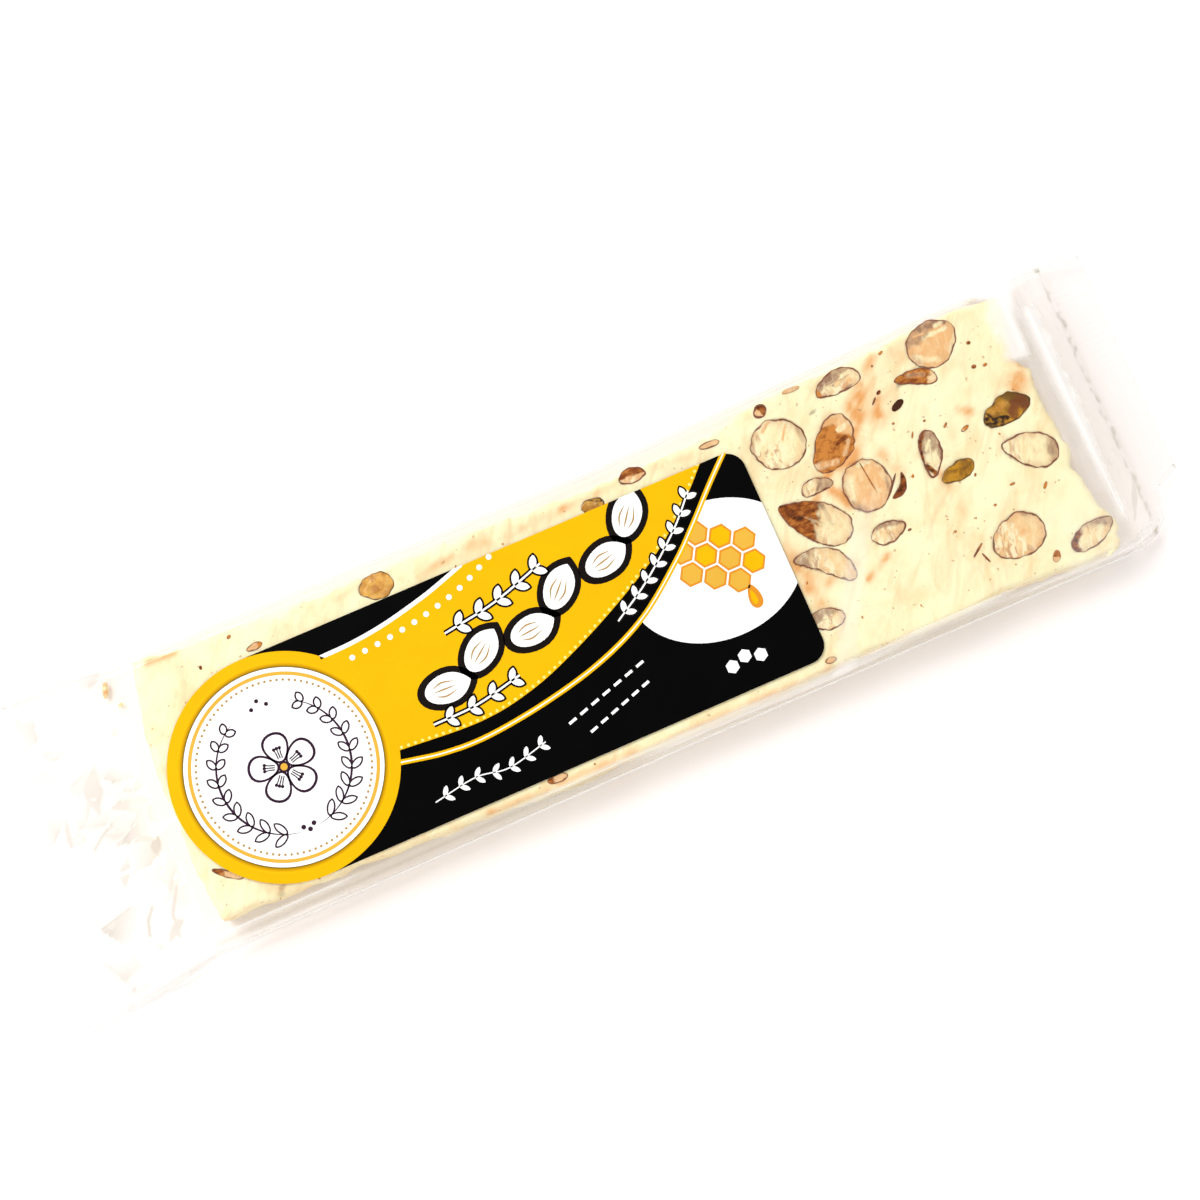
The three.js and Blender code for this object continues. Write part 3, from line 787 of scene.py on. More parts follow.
def build_slab():
    """Slab of nougat: a closed mesh with an uneven cut top, ragged walls and a flat bottom."""
    # Rows and columns lie a little closer together at the edges
    ease = np.linspace(0, 1, SLAB_ROWS)
    v = ease - 0.045 * np.sin(2 * np.pi * ease)
    u = np.linspace(0, 1, SLAB_COLUMNS)
    u = u - 0.006 * np.sin(2 * np.pi * u)
    uu, vv = np.meshgrid(u, v, indexing="ij")
    along = SLAB_START + SLAB_LENGTH * uu
    y = follow(NEAR_EDGE, along) * (1 - vv) + follow(FAR_EDGE, along) * vv
    y += 0.22 * fractal(along, vv * 0, 5, 11, 4) * (2 * vv - 1)
    y += 0.3 * (fractal(along, vv * 0, 2.2, 17, 4) - 0.3) * smoothstep(0.9, 1, vv) * smoothstep(72, 66, along)
    left = follow(LEFT_END, y) + 0.3 * fractal(y, y * 0, 4, 12, 4)
    right = follow(RIGHT_END, y) + 0.45 * fractal(y, y * 0, 3, 13, 4) + 0.25 * fractal(y, y * 0, 0.9, 19, 2)
    x = left * (1 - uu) + right * uu
    edge = np.minimum.reduce([x - left, right - x, y - y[:, :1], y[:, -1:] - y])
    z = slab_height(x, y)
    z -= EDGE_ROUND * (1 - np.sqrt(1 - (1 - np.clip(edge / EDGE_ROUND, 0, 1)) ** 2))
    z -= NUT_HOLLOW * smoothstep(0.1, 0.8, nut_depth(x, y))
    # Mask of the painted shade in the pits, which are also sunk into the top
    painted_pit_shade = np.zeros_like(x)
    for px, py, length, width, turn, strength in PITS:
        p, q = along_across(x, y, px, py, turn)
        hole = smoothstep(1.25, 0.7, np.hypot(p / length, q / width))
        painted_pit_shade = np.maximum(painted_pit_shade, hole * strength)
        z -= PIT_DEPTH * hole * strength
    tan = sum(strength * np.exp(-((segment_distance(x, y, a, b) / width) ** 2))
              for a, b, width, strength in STREAKS)
    tan = np.clip(STREAK_GAIN * tan * (0.7 + 0.6 * fractal(x, y, 2.2, 16, 4)), 0, 1)
    top = np.stack([x, y, z], axis=2).reshape(-1, 3)
    bottom = top.copy()
    bottom[:, 2] = SLAB_BOTTOM
    count = SLAB_COLUMNS * SLAB_ROWS
    index = np.arange(count).reshape(SLAB_COLUMNS, SLAB_ROWS)
    loop = np.concatenate([index[:-1, 0], index[-1, :-1], index[:0:-1, -1], index[0, :0:-1]])
    ring = top[loop]
    heading = np.roll(ring, -1, axis=0) - np.roll(ring, 1, axis=0)
    outward = np.stack([heading[:, 1], -heading[:, 0]], axis=1)
    outward /= np.hypot(outward[:, 0], outward[:, 1])[:, None]
    travel = np.cumsum(np.hypot(heading[:, 0], heading[:, 1]) / 2)
    walls = []
    for k in range(1, WALL_ROWS):
        part = k / WALL_ROWS
        depth = ring[:, 2] * (1 - part) + SLAB_BOTTOM * part
        push = (0.25 + 0.28 * fractal(travel, depth, 2.4, 21, 4)) * math.sin(math.pi * part)
        walls.append(np.column_stack([ring[:, :2] + outward * push[:, None], depth]))
    vertices = np.vstack([top, bottom] + walls)
    faces = [grid_faces(SLAB_COLUMNS, SLAB_ROWS, 0), grid_faces(SLAB_COLUMNS, SLAB_ROWS, count, flip=True)]
    size = len(loop)
    levels = [loop] + [2 * count + k * size + np.arange(size) for k in range(WALL_ROWS - 1)] + [loop + count]
    for above, below in zip(levels[:-1], levels[1:]):
        faces.append(np.stack([np.roll(above, -1), above, below, np.roll(below, -1)], axis=1))
    made = make_object("nougat_slab", vertices, np.vstack(faces), [NOUGAT])
    wall_tan = np.full(len(vertices) - 2 * count, WALL_TAN)
    set_attribute(made, "tan", np.concatenate([tan.ravel(), tan.ravel() * 0, wall_tan]))
    set_attribute(made, "painted_pit_shade", np.concatenate([painted_pit_shade.ravel(), painted_pit_shade.ravel() * 0, wall_tan * 0]))
    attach(made, "root")
    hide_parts("clear_bag")


# Film


def creases(x, y, seed, count, x_range, y_range, height, width):
    """Sharp straight ridges and valleys, each fading out at both ends."""
    random = np.random.default_rng(seed)
    total = np.zeros_like(x)
    for _ in range(count):
        ax, bx = x_range[0] + random.random() * 3, x_range[1] - random.random() * 3
        ay = random.uniform(*y_range)
        by = ay + random.uniform(-9, 9)
        lift = height * random.uniform(-1, 1)
        reach = width * random.uniform(0.6, 1.4)
        t = np.clip((x - ax) / (bx - ax), 0, 1)
        across = np.abs(y - (ay + (by - ay) * t))
        total += lift * np.maximum(0, 1 - across / reach) * np.sin(np.pi * t)
    return total


# Facets of the creased ends with painted shade, one of them the painted shadow beside the slab's right end:
# place, length, width, turn and strength
FACETS = (
    (-91.2, 8, 8.5, 3.4, 75, 0.5), (-84.6, -5.4, 4, 1.9, 65, 0.75), (-91.5, -7, 5, 1.8, 60, 0.5),
    (-88.5, -1.8, 11, 1.6, -28, 0.4), (90.9, 3, 27, 2, 91, 0.3), (97.8, -17, 8, 1.3, 62, 0.45),
    (-98.5, 3, 5, 1, 80, 0.5), (-87, -19.5, 6, 1.6, 35, 0.55), (-90.5, -22, 5, 1.4, 120, 0.5),
)
# Painted shade along sharp creases: a line through a few places, and strength
CREASES = (
    (((-89.4, -14.6), (-91, -16.4), (-91.8, -18.9)), 0.7),
    (((-95.2, -1.2), (-93, 0.4), (-90.6, 1.4)), 0.6), (((-84, -13), (-86.5, -17), (-87, -21)), 0.6),
    (((100, -13.5), (97.8, -18), (95.4, -21)), 0.45),
)
# Band of painted sheen on the film over the near half of the bar, through a few places
FILM_BAND = ((71.4, 26), (61.4, 12.7), (51, -1), (42.4, -14.1), (36.3, -25.2))


def crumple(x, y):
    """Crumpled cells at both ends: height above each cell's middle, shade, and closeness to its edge."""
    random = np.random.default_rng(9)
    seeds = np.vstack([np.column_stack([random.uniform(-101, -80, 60), random.uniform(-29, 29, 60)]),
                       np.column_stack([random.uniform(93, 101, 34), random.uniform(-27, 28, 34)])])
    strength = np.maximum(0, random.uniform(-0.6, 0.7, len(seeds)))
    turn = random.uniform(0, 2 * np.pi, len(seeds))
    dx, dy = (x[..., None] - seeds[:, 0]) / 1.3, y[..., None] - seeds[:, 1]
    order = np.argsort(dx**2 + dy**2, axis=-1)[..., :2]
    gaps = np.take_along_axis(np.hypot(dx, dy), order, axis=-1)
    first, second = gaps[..., 0], gaps[..., 1]
    cell = order[..., 0]
    run, rise = (np.take_along_axis(d, order[..., :1], axis=-1)[..., 0] for d in (dx, dy))
    ahead = run * np.cos(turn[cell]) + rise * np.sin(turn[cell])
    shade = strength[cell] * np.clip(0.5 + 0.3 * ahead, 0, 1)
    return np.minimum(first, 4), shade, smoothstep(0.5, 0.1, second - first)


def line_distance(x, y, points):
    return np.minimum.reduce([segment_distance(x, y, a, b) for a, b in zip(points[:-1], points[1:])])


def film_looks(x, y, j):
    """How much white haze and painted highlight, and how much painted shade, the film has from place to
    place.
    """
    beyond = np.abs(x) - CRIMP_START
    wall = smoothstep(SIDE_STEPS + 1, SIDE_STEPS, j)
    # Crimps with a faint haze, then painted light over the shadowed gap and a painted pale patch beside the
    # slab's right end
    haze_and_highlight = 0.03 * smoothstep(-0.3, 0.6, beyond)
    haze_and_highlight += 0.15 * span(x, 88, 89.5, 92, 93) * smoothstep(-15, -12, y)
    ragged = 0.9 * fractal(x, y, 2.5, 50, 3)
    patch = smoothstep(12.4, 14.6, y + ragged) * smoothstep(85.4, 87.2, x + ragged)
    haze_and_highlight += 0.6 * patch * smoothstep(90.4, 89.4, x - 0.12 * (y - 15))
    # Painted highlight on the ridge across the right end, painted light on the strip between it and the crimp
    # and on the two right corners
    ridge = 1.6 - 0.95 * smoothstep(4, -15, y)
    haze_and_highlight += 0.7 * np.exp(-((x - 93.6) / ridge) ** 4) * span(y, -22, -18, 20, 23)
    haze_and_highlight += 0.14 * span(x, 94, 95, 99.5, 100.5)
    haze_and_highlight += 0.1 * smoothstep(78, 82, x + noise(x, y, 3, 48)) * smoothstep(93, 91, x) * smoothstep(-12, -16, y)
    haze_and_highlight += 0.25 * span(x, 84, 88, 92, 94) * smoothstep(24.5, 26.5, y)
    # Near side: painted highlights on its pinched lip, streaks above it and the foot of the right crimp, then
    # the painted sheen band
    haze_and_highlight += 0.95 * wall * np.exp(-((j - 3) / 0.8) ** 4) * span(x, -84, -80, 94, 97)
    streaks = noise(x * 0.04, j, 1.0, 49)
    inner = smoothstep(102, 97, x)
    haze_and_highlight += wall * smoothstep(3.5, 4.5, j) * (0.1 + 0.35 * smoothstep(0.1, 0.6, streaks)) * inner
    haze_and_highlight += 0.7 * smoothstep(2.5, 1, j) * span(x, 95, 97, 103, 104.5)
    band = smoothstep(2.2, 1.2, line_distance(x, y, FILM_BAND))
    haze_and_highlight += 0.25 * band * smoothstep(5, 8, j) * smoothstep(4, -6, y)
    # Painted shade: cells of the crumpled ends shaded by their tilt, bands along the near side, facets and
    # creases
    _, shade, edge = crumple(x, y)
    loose = span(x, -103, -99, -84, -82) + 0.1 * span(x, 94.6, 96, 100, 101)
    painted_shade = loose * (0.85 * shade + 0.15 * edge * smoothstep(0, 0.3, shade))
    bands = (0.34 + 0.3 * smoothstep(0.3, -0.4, streaks)) * smoothstep(9.5, 8, j)
    painted_shade += wall * smoothstep(3.5, 5, j) * bands * smoothstep(-84, -80, x) * inner
    for cx, cy, length, width, turn, strength in FACETS:
        u, v = along_across(x, y, cx, cy, turn)
        u, v = u / length * 2, v / width * 2
        spread = np.abs(u) ** 1.4 + np.abs(v + 0.3 * u * u) ** 1.4 + 0.2 * noise(x, y, 2, 46)
        painted_shade = np.maximum(painted_shade, strength * smoothstep(1.2, 0.8, spread))
    for points, strength in CREASES:
        painted_shade = np.maximum(painted_shade, strength * smoothstep(0.45, 0.15, line_distance(x, y, points)))
    # Wandering line of painted dark glints where each crimp starts; it also clears the white there
    wander = 0.6 * noise(x * 0, y, 2.1, 44) + 0.35 * noise(x * 0, y, 0.8, 41)
    glint = np.exp(-((beyond + 0.3 - wander) / 0.42) ** 2) * smoothstep(-0.6, 0.2, noise(x, y, 1.0, 45))
    glint = glint * (0.2 + 0.65 * (x > 0))
    return np.clip(haze_and_highlight * (1 - 0.9 * glint), 0, 0.95), np.clip(np.maximum(painted_shade, glint), 0, 1)


# Profile of the film's side from the floor up to the flat top, with a pinched lip: share of the
# side's width and share of the height
WALL_OUT = np.array([0.08, 0.04, 0.02, -0.15, 0.02, 0.06, 0.14, 0.28, 0.5, 0.74, 1.0])
WALL_UP = np.array([0.0, 0.13, 0.24, 0.27, 0.3, 0.48, 0.66, 0.81, 0.92, 0.98, 1.0])


def build_film():
    """The wrapper's film: a closed tube with a loose, creased end on each side and pressed crimps."""
    xs = np.concatenate([
        np.linspace(-PACK_END, LOOSE_LEFT, 84),
        np.linspace(LOOSE_LEFT, LOOSE_RIGHT, 150)[1:-1],
        np.linspace(LOOSE_RIGHT, PACK_END, 61),
    ])
    keys = {key: np.interp(xs, PROFILE_X, values)[:, None] for key, values in PROFILE.items()}
    count = TOP_STEPS + 2 * SIDE_STEPS
    j = np.arange(count + 1)[None, :]
    from_near, from_far = np.minimum(j, SIDE_STEPS), np.minimum(count - j, SIDE_STEPS)
    across = np.clip((j - SIDE_STEPS) / TOP_STEPS, 0, 1)
    near = keys["near"] + keys["side"] * WALL_OUT[from_near]
    far = keys["far"] - keys["side"] * WALL_OUT[from_far]
    y = near * (1 - across) + far * across
    x = np.repeat(xs[:, None], count + 1, axis=1)
    shoulder = WALL_UP[from_near] * WALL_UP[from_far]
    rise = smoothstep(0, 0.3, from_near / SIDE_STEPS) * smoothstep(0, 0.3, from_far / SIDE_STEPS)
    loose = np.maximum(smoothstep(-81, -84, x), smoothstep(93.4, 95, x))
    loose = loose * smoothstep(CRIMP_START, CRIMP_START - 2, np.abs(x))
    crimp = smoothstep(CRIMP_START - 0.3, CRIMP_START + 0.3, np.abs(x))
    folds = creases(x, y, 3, 26, (-101, -81), (-28, 28), 1.3, 2.6)
    folds += creases(x, y, 5, 16, (93.5, 101), (-26, 26), 0.6, 2.6)
    folds += 0.45 * crumple(x, y)[0] - 0.6
    ripple = 0.03 * fractal(x * 0.5, y, 7, 33, 2)
    zigzag = np.abs(((y + 60) / RIB_PITCH) % 1 - 0.5)
    ribs = 0.07 * (4 * zigzag - 1) * crimp * (0.7 + 0.6 * noise(x, y, 6, 35))
    teeth = 1.2 * zigzag
    ends = np.abs(x) > PACK_END - 0.01
    x = x - np.sign(x) * teeth * ends
    over = keys["base"] + (keys["top"] - keys["base"]) * shoulder + folds * loose * shoulder
    over = over + ripple * shoulder * (1 - crimp) + ribs
    # Underside: the folded back seam hangs lower than the film beside it
    seam = span(y, -1.6, -1.3, 8.0, 8.3)
    lift = (0.33 - 0.27 * seam) * rise * (1 - crimp)
    under = keys["base"] + lift * (1 - loose) + ribs
    rings, columns = x.shape
    top = np.stack([x, y, over], axis=2).reshape(-1, 3)
    inner = np.stack([x, y, under], axis=2)[:, 1:-1].reshape(-1, 3)
    start = rings * columns
    index = np.arange(start).reshape(rings, columns)
    hidden = start + np.arange(rings * (columns - 2)).reshape(rings, -1)
    below = np.hstack([index[:, :1], hidden, index[:, -1:]])

    def quads(grid, flip):
        """Quads of a grid of point numbers."""
        a, b, c, d = grid[:-1, :-1], grid[1:, :-1], grid[1:, 1:], grid[:-1, 1:]
        order = (d, c, b, a) if flip else (a, b, c, d)
        return np.stack([k.ravel() for k in order], axis=1)

    faces = [tuple(f) for f in quads(index, False)] + [tuple(f) for f in quads(below, True)]
    for row, flip in ((0, False), (-1, True)):
        up, down = index[row], below[row]
        for k in range(columns - 1):
            face = (up[k], up[k + 1], down[k + 1], down[k])
            face = tuple(dict.fromkeys(face))
            faces.append(face[::-1] if flip else face)
    made = make_object("clear_film", np.vstack([top, inner]), faces, [film_material()])
    for name, values in zip(("haze_and_highlight", "painted_shade"), film_looks(x, y, j)):
        set_attribute(made, name, np.concatenate([values.ravel(), values[:, 1:-1].ravel() * 0]))
    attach(made, "root")
    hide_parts("clear_bag")


# Label

# Right edge of the sticker, radius of its corners, and its near and far edges
LABEL_END = 35.1
LABEL_CORNER = 3.4
LABEL_LOW = LABEL_CENTRE[1] - LABEL_RADIUS
LABEL_HIGH = LABEL_CENTRE[1] + LABEL_RADIUS
# Edges of the yellow band, row of white dots and thin line, through a few places each
BAND_UPPER = ((-46.4, 13.3), (-40.2, 13.5), (-33.7, 14.3), (-26.4, 15.9), (-22.2, 17.1), (-17.6, 18.6))
BAND_LOWER = (
    (28.1, 18.6), (23.5, 14.1), (15.8, 7.8), (6.4, 2.4), (-5, -2.9), (-15, -6.4), (-25.4, -7.9),
    (-40.3, -6.9),
)
DOT_ROW = ((-41.3, 11.1), (-33.9, 11.8), (-26.6, 13), (-19.5, 14.9), (-12.7, 17.9))
THIN_LINE = (
    (-40.8, -8.9), (-33, -10.4), (-25, -10.7), (-13.5, -9.3), (-2, -6.6), (7.8, -2.4), (16.9, 4.2),
    (22.4, 9.1), (27.7, 14.2), (33, 19),
)


def arc(centre, radius, start, end, steps):
    angles = np.radians(np.linspace(start, end, steps))
    return [(centre[0] + radius * math.cos(a), centre[1] + radius * math.sin(a)) for a in angles]


def spline(points, steps=10):
    """Smooth curve through a few points."""
    p = [np.array(q, float) for q in points]
    p = [2 * p[0] - p[1]] + p + [2 * p[-1] - p[-2]]
    curve = []
    for k in range(1, len(p) - 2):
        for t in np.arange(steps) / steps:
            a, b, c, d = p[k - 1 : k + 3]
            curve.append(0.5 * (2 * b + (c - a) * t + (2 * a - 5 * b + 4 * c - d) * t**2
                                + (3 * b - a - 3 * c + d) * t**3))
    return [tuple(q) for q in curve] + [tuple(p[-2])]


def clip_below(points, axis, limit, keep_low=True):
    """Cuts a closed outline at one straight line along X or Y."""
    sign = 1 if keep_low else -1
    kept = []
    for k, b in enumerate(points):
        a = points[k - 1]
        da, db = sign * (limit - a[axis]), sign * (limit - b[axis])
        if da * db < 0:
            t = da / (da - db)
            kept.append((a[0] + (b[0] - a[0]) * t, a[1] + (b[1] - a[1]) * t))
        if db >= 0:
            kept.append(b)
    return kept


class Print:
    """Fields of ink, each a thin plate of one colour on its own layer."""

    def __init__(self):
        self.vertices, self.faces, self.inks = [], [], []

    def plate(self, outline, layer, ink):
        outline = clip_below(outline, 0, LABEL_END)
        outline = clip_below(clip_below(outline, 1, LABEL_HIGH), 1, LABEL_LOW, keep_low=False)
        cleaned = [p for k, p in enumerate(outline) if math.dist(p, outline[k - 1]) > 1e-4]
        area = sum(a[0] * b[1] - b[0] * a[1] for a, b in zip(cleaned, cleaned[1:] + cleaned[:1]))
        if area < 0:
            cleaned.reverse()
        n, start = len(cleaned), len(self.vertices)
        low, high = LABEL_TOP - 0.005, LABEL_TOP + INK * (layer + 1)
        self.vertices += [(x, y, high) for x, y in cleaned] + [(x, y, low) for x, y in cleaned]
        triangles = tessellate_polygon([[Vector((x, y, 0)) for x, y in cleaned]])
        for t in triangles:
            a, b, c = (cleaned[i] for i in t)
            if (b[0] - a[0]) * (c[1] - a[1]) - (b[1] - a[1]) * (c[0] - a[0]) < 0:
                t = t[::-1]
            self.faces.append(tuple(start + i for i in t))
            self.faces.append(tuple(start + n + i for i in reversed(t)))
        for k in range(n):
            m = (k + 1) % n
            self.faces.append((start + k, start + n + k, start + n + m, start + m))
        self.inks += [INK_ORDER.index(ink)] * (2 * len(triangles) + n)

    def disc(self, centre, radius, layer, ink, steps=64):
        self.plate(arc(centre, radius, 0, 360 - 360 / steps, steps), layer, ink)

    def stroke(self, points, width, layer, ink, taper=False):
        """Line of the given width, with pointed ends if it tapers."""
        p = np.array(points, float)
        heading = np.gradient(p, axis=0)
        heading /= np.hypot(heading[:, 0], heading[:, 1])[:, None]
        side = np.stack([-heading[:, 1], heading[:, 0]], axis=1) * width / 2
        if taper:
            side *= np.sin(np.linspace(0.12, np.pi - 0.12, len(p)))[:, None]
        loop = [tuple(q) for q in p + side] + [tuple(q) for q in (p - side)[::-1]]
        self.plate(loop, layer, ink)

    def ring(self, centre, radius, width, layer, ink):
        """Ring, in short arcs that meet end to end."""
        for k in range(24):
            a, b = 15 * k, 15 * (k + 1)
            outer, inner = arc(centre, radius + width / 2, a, b, 6), arc(centre, radius - width / 2, b, a, 6)
            self.plate(outer + inner, layer, ink)

    def leaf(self, base, turn, length, width, layer, ink, point=0.7):
        """Pointed oval with its base at one place."""
        loop = []
        for t in np.linspace(0, 2 * math.pi, 28, endpoint=False):
            p = length * (1 - math.cos(t)) / 2
            sharp = max(0.0, point) * (p / length) ** 2
            q = width / 2 * math.copysign(abs(math.sin(t)) ** (1 + sharp), math.sin(t))
            q *= 1 + 0.35 * max(0.0, -point) * -math.cos(t)
            loop.append(turned(*base, p, q, math.radians(turn)))
        self.plate(loop, layer, ink)


def along(points, share):
    """Place and heading in degrees at a share of a curve's length."""
    p = np.array(points, float)
    steps = np.hypot(*np.diff(p, axis=0).T)
    travel = np.concatenate([[0], np.cumsum(steps)])
    where = share * travel[-1]
    k = min(np.searchsorted(travel, where, side="right") - 1, len(steps) - 1)
    t = (where - travel[k]) / steps[k]
    at = p[k] + (p[k + 1] - p[k]) * t
    turn = math.degrees(math.atan2(*(p[k + 1] - p[k])[::-1]))
    return tuple(at), turn


def outlined_leaf(ink, base, turn, length, width, layer, border):
    """White leaf with a dark edge of even width."""
    rear = turned(*base, -1.25 * border, 0, math.radians(turn))
    ink.leaf(rear, turn, length + 2.5 * border, width + 2 * border, layer, "brown")
    ink.leaf(base, turn, length, width, layer + 3, "white")


def sprig(ink, points, layer, colour, size, pairs, width=0.22, border=0.0):
    """Curved stem with a pair of small leaves at even steps."""
    stem = spline(points)
    if border:
        ink.stroke(stem, width + 2 * border, layer, "brown")
    ink.stroke(stem, width, layer + (3 if border else 0), colour)
    for k in range(pairs):
        at, turn = along(stem, (k + 0.6) / pairs)
        for side in (-1, 1):
            if border:
                outlined_leaf(ink, at, turn + 48 * side, size, size * 0.5, layer, border)
            else:
                ink.leaf(at, turn + 48 * side, size, size * 0.45, layer, colour)


def print_fields(ink):
    """Large fields: white oval, yellow band, thin line and the dots beside them."""
    oval = [(22.7 + 16 * math.cos(a), 0.1 + 12.2 * math.sin(a)) for a in np.linspace(0, 2 * math.pi, 96)[:-1]]
    ink.plate(oval, 0, "white")
    line = spline(THIN_LINE)
    ink.plate(line + [(0, 19), (-45, 19), (-45, -9)], 2, "black")
    ink.stroke(line, 0.95, 3, "yellow")
    ink.stroke(line, 0.2, 4, "white")
    upper, lower = spline(BAND_UPPER), spline(BAND_LOWER)
    ink.plate(upper + lower + [(-50, -6.5), (-50, 13.4)], 3, "yellow")
    ink.stroke(upper, 0.75, 4, "white")
    dots = spline(DOT_ROW)
    for k in range(13):
        ink.disc(along(dots, k / 12)[0], 0.5, 4, "white", 20)
    for k in range(60):
        (x, y), turn = along(lower, (k + 0.5) / 60)
        ink.disc(turned(x, y, 0.4, 0, math.radians(turn - 90)), 0.27, 4, "pale", 10)


def print_badge(ink):
    """Round badge: rings, a ring of dots, and a blossom inside a wreath of two branches."""
    c = LABEL_CENTRE
    ink.disc(c, LABEL_RADIUS, 4, "yellow", 128)
    ink.disc(c, WHITE_RADIUS + 1.2, 5, "shaded", 128)
    ink.disc(c, WHITE_RADIUS, 6, "white", 128)
    ink.ring(c, 16.15, 0.62, 7, "gold")
    for k in range(90):
        ink.disc(around_badge(15.05, 4 * k), 0.24, 7, "dot", 8)
    for k in range(5):
        turn = 90 + 72 * k
        outline(ink, around_badge(0.7, turn), turn, 5.6, 4.5, 7, 0.4, -0.8)
        for side in (-9, 0, 9):
            stem = [around_badge(r, turn + side * lean) for r, lean in ((1.6, 1.5), (2.5, 1), (3.3, 1))]
            ink.stroke(stem, 0.2, 10, "plum")
            ink.disc(around_badge(3.4, turn + side), 0.3, 10, "plum", 10)
    ink.disc(c, 1.0, 11, "plum", 24)
    ink.disc(c, 0.62, 12, "gold", 24)
    for side in (-1, 1):
        branch = [around_badge(11.6, 270 + side * a) for a in np.linspace(9, 152, 40)]
        ink.stroke(branch, 0.42, 7, "plum", taper=True)
        for k in range(9):
            at, turn = along(branch, (k + 0.7) / 9.4)
            for lean in (-1, 1):
                outline(ink, at, turn + 42 * lean, 3.1 - 0.12 * k, 1.5, 8, 0.3, 0.6)
    for side in (-1, 0, 1):
        ink.disc(around_badge(11.6 - 0.7 * abs(side), 270 + 5 * side), 0.42, 9, "plum", 14)
        ink.disc(around_badge(12.3 - 1.0 * abs(side), 90 + 7 * side), 0.36, 9, "plum", 14)


def around_badge(radius, turn):
    """Place at a radius and a direction in degrees from the badge's centre."""
    return turned(*LABEL_CENTRE, radius, 0, math.radians(turn))


def outline(ink, base, turn, length, width, layer, line, point):
    """White leaf or petal drawn with a thin plum line."""
    ink.leaf(base, turn, length, width, layer, "plum", point)
    inner = turned(*base, 1.1 * line, 0, math.radians(turn))
    ink.leaf(inner, turn, length - 2.3 * line, width - 2 * line, layer + 1, "white", point)


def print_comb(ink):
    """Honeycomb cells and a drop of honey in the white oval."""
    cell = 2.35
    for column in range(4):
        for row in range(3):
            if (column, row) in ((0, 0), (3, 2)):
                continue
            x = 18.6 + column * cell * 1.56
            y = -3.2 + row * cell * 1.8 + (column % 2) * cell * 0.9
            ink.plate(arc((x, y), cell * 0.96, 0, 300, 6), 1, "amber")
            colour = "gold" if (column + 2 * row) % 3 else "yellow"
            ink.plate(arc((x, y), cell * 0.78, 0, 300, 6), 1.5, colour)
    ink.leaf((27.2, -4.6), 270, 4.4, 2.3, 1, "amber", point=-0.9)
    ink.leaf((27.0, -5.6), 270, 2.6, 1.0, 1.5, "yellow", point=-0.9)


def print_motifs(ink):
    """Row of almonds on the yellow band and small sprigs round it."""
    row = spline([(-35.5, -0.5), (-22, 1.2), (-7, 5), (8, 11), (16, 15)])
    for k in range(6):
        at, turn = along(row, (k + 0.35) / 6.1)
        tilt = turn + (28 if k % 2 else -8)
        outlined_leaf(ink, at, tilt, 8.4, 5.2, 4, 1.1)
        lean = np.array([math.cos(math.radians(tilt)), math.sin(math.radians(tilt))])
        for side in (-1, 0, 1):
            across = np.array([-lean[1], lean[0]]) * side
            places = ((1.6, 0.7), (3.4, 1.25), (5.6, 0.8))
            curve = [tuple(np.array(at) + lean * p + across * q) for p, q in places]
            ink.stroke(spline(curve, 4), 0.28, 9, "dot", taper=True)
    sprig(ink, [(-25, 8.6), (-15, 10.2), (-5, 13.3)], 4, "white", 2.6, 5, 0.35, 0.35)
    sprig(ink, [(-33, -5.2), (-25, -5.0), (-16, -3.2)], 4, "white", 2.3, 4, 0.35, 0.35)
    sprig(ink, [(3.5, -1.4), (11, 3.2), (19, 9.6), (24, 14.8)], 5, "white", 2.1, 8, 0.3, 0.3)
    sprig(ink, [(-38, -17.6), (-30, -16.4), (-24, -17.2), (-16.5, -15.6)], 3, "white", 1.9, 7, 0.22)
    for row_start, row_end, bars in (((-11.5, -14.4), (5.6, -9.2), 7), ((-8.6, -17.2), (5.0, -12.8), 6)):
        for k in range(bars):
            a = np.array(row_start) + (np.array(row_end) - row_start) * (k / bars)
            b = a + (np.array(row_end) - row_start) * (0.62 / bars)
            ink.stroke([tuple(a), tuple((a + b) / 2), tuple(b)], 0.5, 3, "white")
    for k in range(3):
        ink.plate(arc((18.6 + 2.7 * k, -16.6 + 0.9 * (k % 2)), 1.25, 30, 330, 6), 3, "white")


def build_label():
    cx, cy = LABEL_CENTRE
    corner = LABEL_END - LABEL_CORNER
    outline = arc((corner, cy - LABEL_RADIUS + LABEL_CORNER), LABEL_CORNER, -90, 0, 12)
    outline += arc((corner, cy + LABEL_RADIUS - LABEL_CORNER), LABEL_CORNER, 0, 90, 12)
    outline += arc((cx, cy), LABEL_RADIUS, 90, 270, 72)
    count = len(outline)
    vertices = [(x, y, LABEL_TOP) for x, y in outline] + [(x, y, LABEL_BOTTOM) for x, y in outline]
    faces = [tuple(range(count)), tuple(range(2 * count - 1, count - 1, -1))]
    faces += [(k, k + count, (k + 1) % count + count, (k + 1) % count) for k in range(count)]
    inks = [INK_ORDER.index("black")] * 2 + [INK_ORDER.index("white")] * count
    sheet = make_object("label_sheet", vertices, faces, list(INKS.values()), inks, smooth=False)
    ink = Print()
    print_fields(ink)
    print_comb(ink)
    print_badge(ink)
    print_motifs(ink)
    fields = make_object("label_print", ink.vertices, ink.faces, list(INKS.values()), ink.inks, smooth=False)
    for made in (sheet, fields):
        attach(made, "root")
        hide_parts("label")


# Stage, light and camera

CAMERA_AT = (-44.2, -41.3, 477.1)
CAMERA_TARGET = (2.1, 3.3, TOP_Z)
CAMERA_UP = (0.3935, 0.9106, 0.1261)
CAMERA_ANGLE = 25.0
FLOOR_REACH = 3000
# Brightness of the studio round the part, from the horizon to straight above
SKY = ((0.0, 1.2), (0.55, 1.25), (0.82, 0.75), (0.95, 0.08))


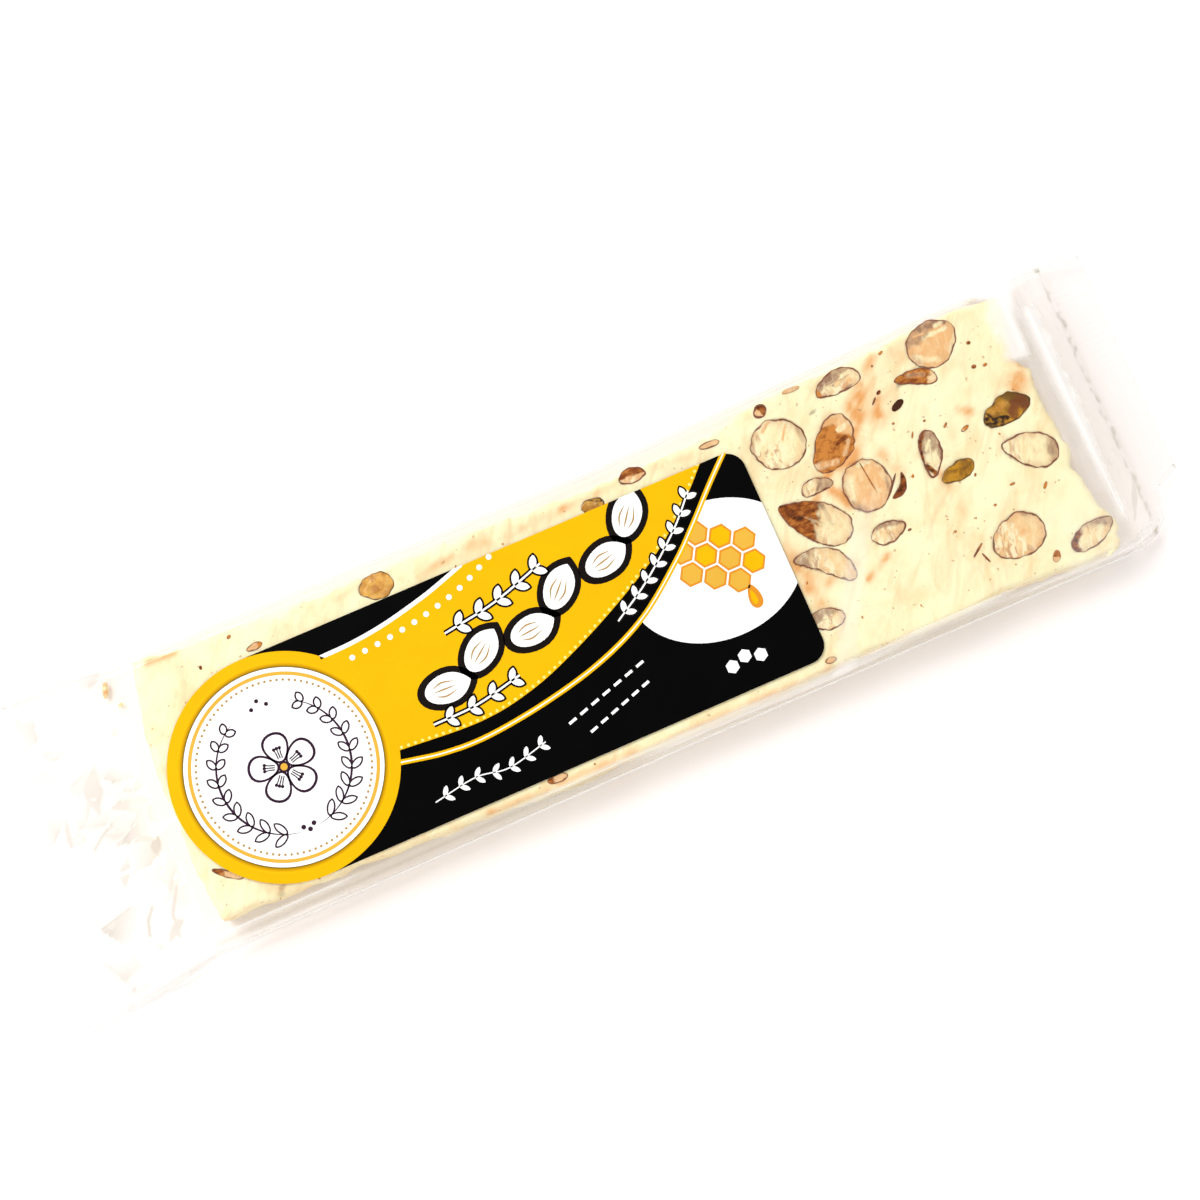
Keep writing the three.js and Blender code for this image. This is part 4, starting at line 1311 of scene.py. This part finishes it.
def build_camera():
    data = bpy.data.cameras.new("camera")
    data.angle = math.radians(CAMERA_ANGLE)
    data.clip_start = 0.01
    camera = bpy.data.objects.new("camera", data)
    bpy.context.scene.collection.objects.link(camera)
    back = (Vector(CAMERA_AT) - Vector(CAMERA_TARGET)).normalized()
    right = Vector(CAMERA_UP).cross(back).normalized()
    turn = Matrix((right, back.cross(right), back)).transposed().to_4x4()
    camera.matrix_world = Matrix.Translation(Vector(CAMERA_AT) * MM) @ turn
    bpy.context.scene.camera = camera


def area_light(name, place, size, power):
    data = bpy.data.lights.new(name, "AREA")
    data.shape = "RECTANGLE"
    data.size, data.size_y = size[0] * MM, size[1] * MM
    data.energy = power
    light = bpy.data.objects.new(name, data)
    bpy.context.scene.collection.objects.link(light)
    light.location = Vector(place) * MM
    light.rotation_euler = (Vector(place) * -1).to_track_quat("-Z", "Y").to_euler()


def build_stage():
    corners = [(sx * FLOOR_REACH, sy * FLOOR_REACH, 0) for sx, sy in ((-1, -1), (1, -1), (1, 1), (-1, 1))]
    floor = make_object("floor", corners, [(0, 1, 2, 3)], [floor_material()])
    world = bpy.data.worlds.new("studio")
    world.use_nodes = True
    tree = world.node_tree
    height = tree.nodes.new("ShaderNodeSeparateXYZ")
    tree.links.new(tree.nodes.new("ShaderNodeTexCoord").outputs["Generated"], height.inputs[0])
    sky = tree.nodes.new("ShaderNodeValToRGB")
    while len(sky.color_ramp.elements) < len(SKY):
        sky.color_ramp.elements.new(0.5)
    for element, (position, grey) in zip(sky.color_ramp.elements, SKY):
        element.position = position
        element.color = (grey, grey, grey, 1)
    tree.links.new(height.outputs["Z"], sky.inputs["Fac"])
    tree.links.new(sky.outputs["Color"], tree.nodes["Background"].inputs["Color"])
    bpy.context.scene.world = world
    bpy.context.scene.view_settings.view_transform = "Standard"
    area_light("key", (-400, 530, 850), (700, 520), 7.2)
    area_light("fill", (-420, -420, 260), (400, 300), 0.8)


build_camera()
build_nuts()
build_bits()
build_crumbs()
build_loose_crumbs()
build_slab()
build_film()
build_label()
build_stage()
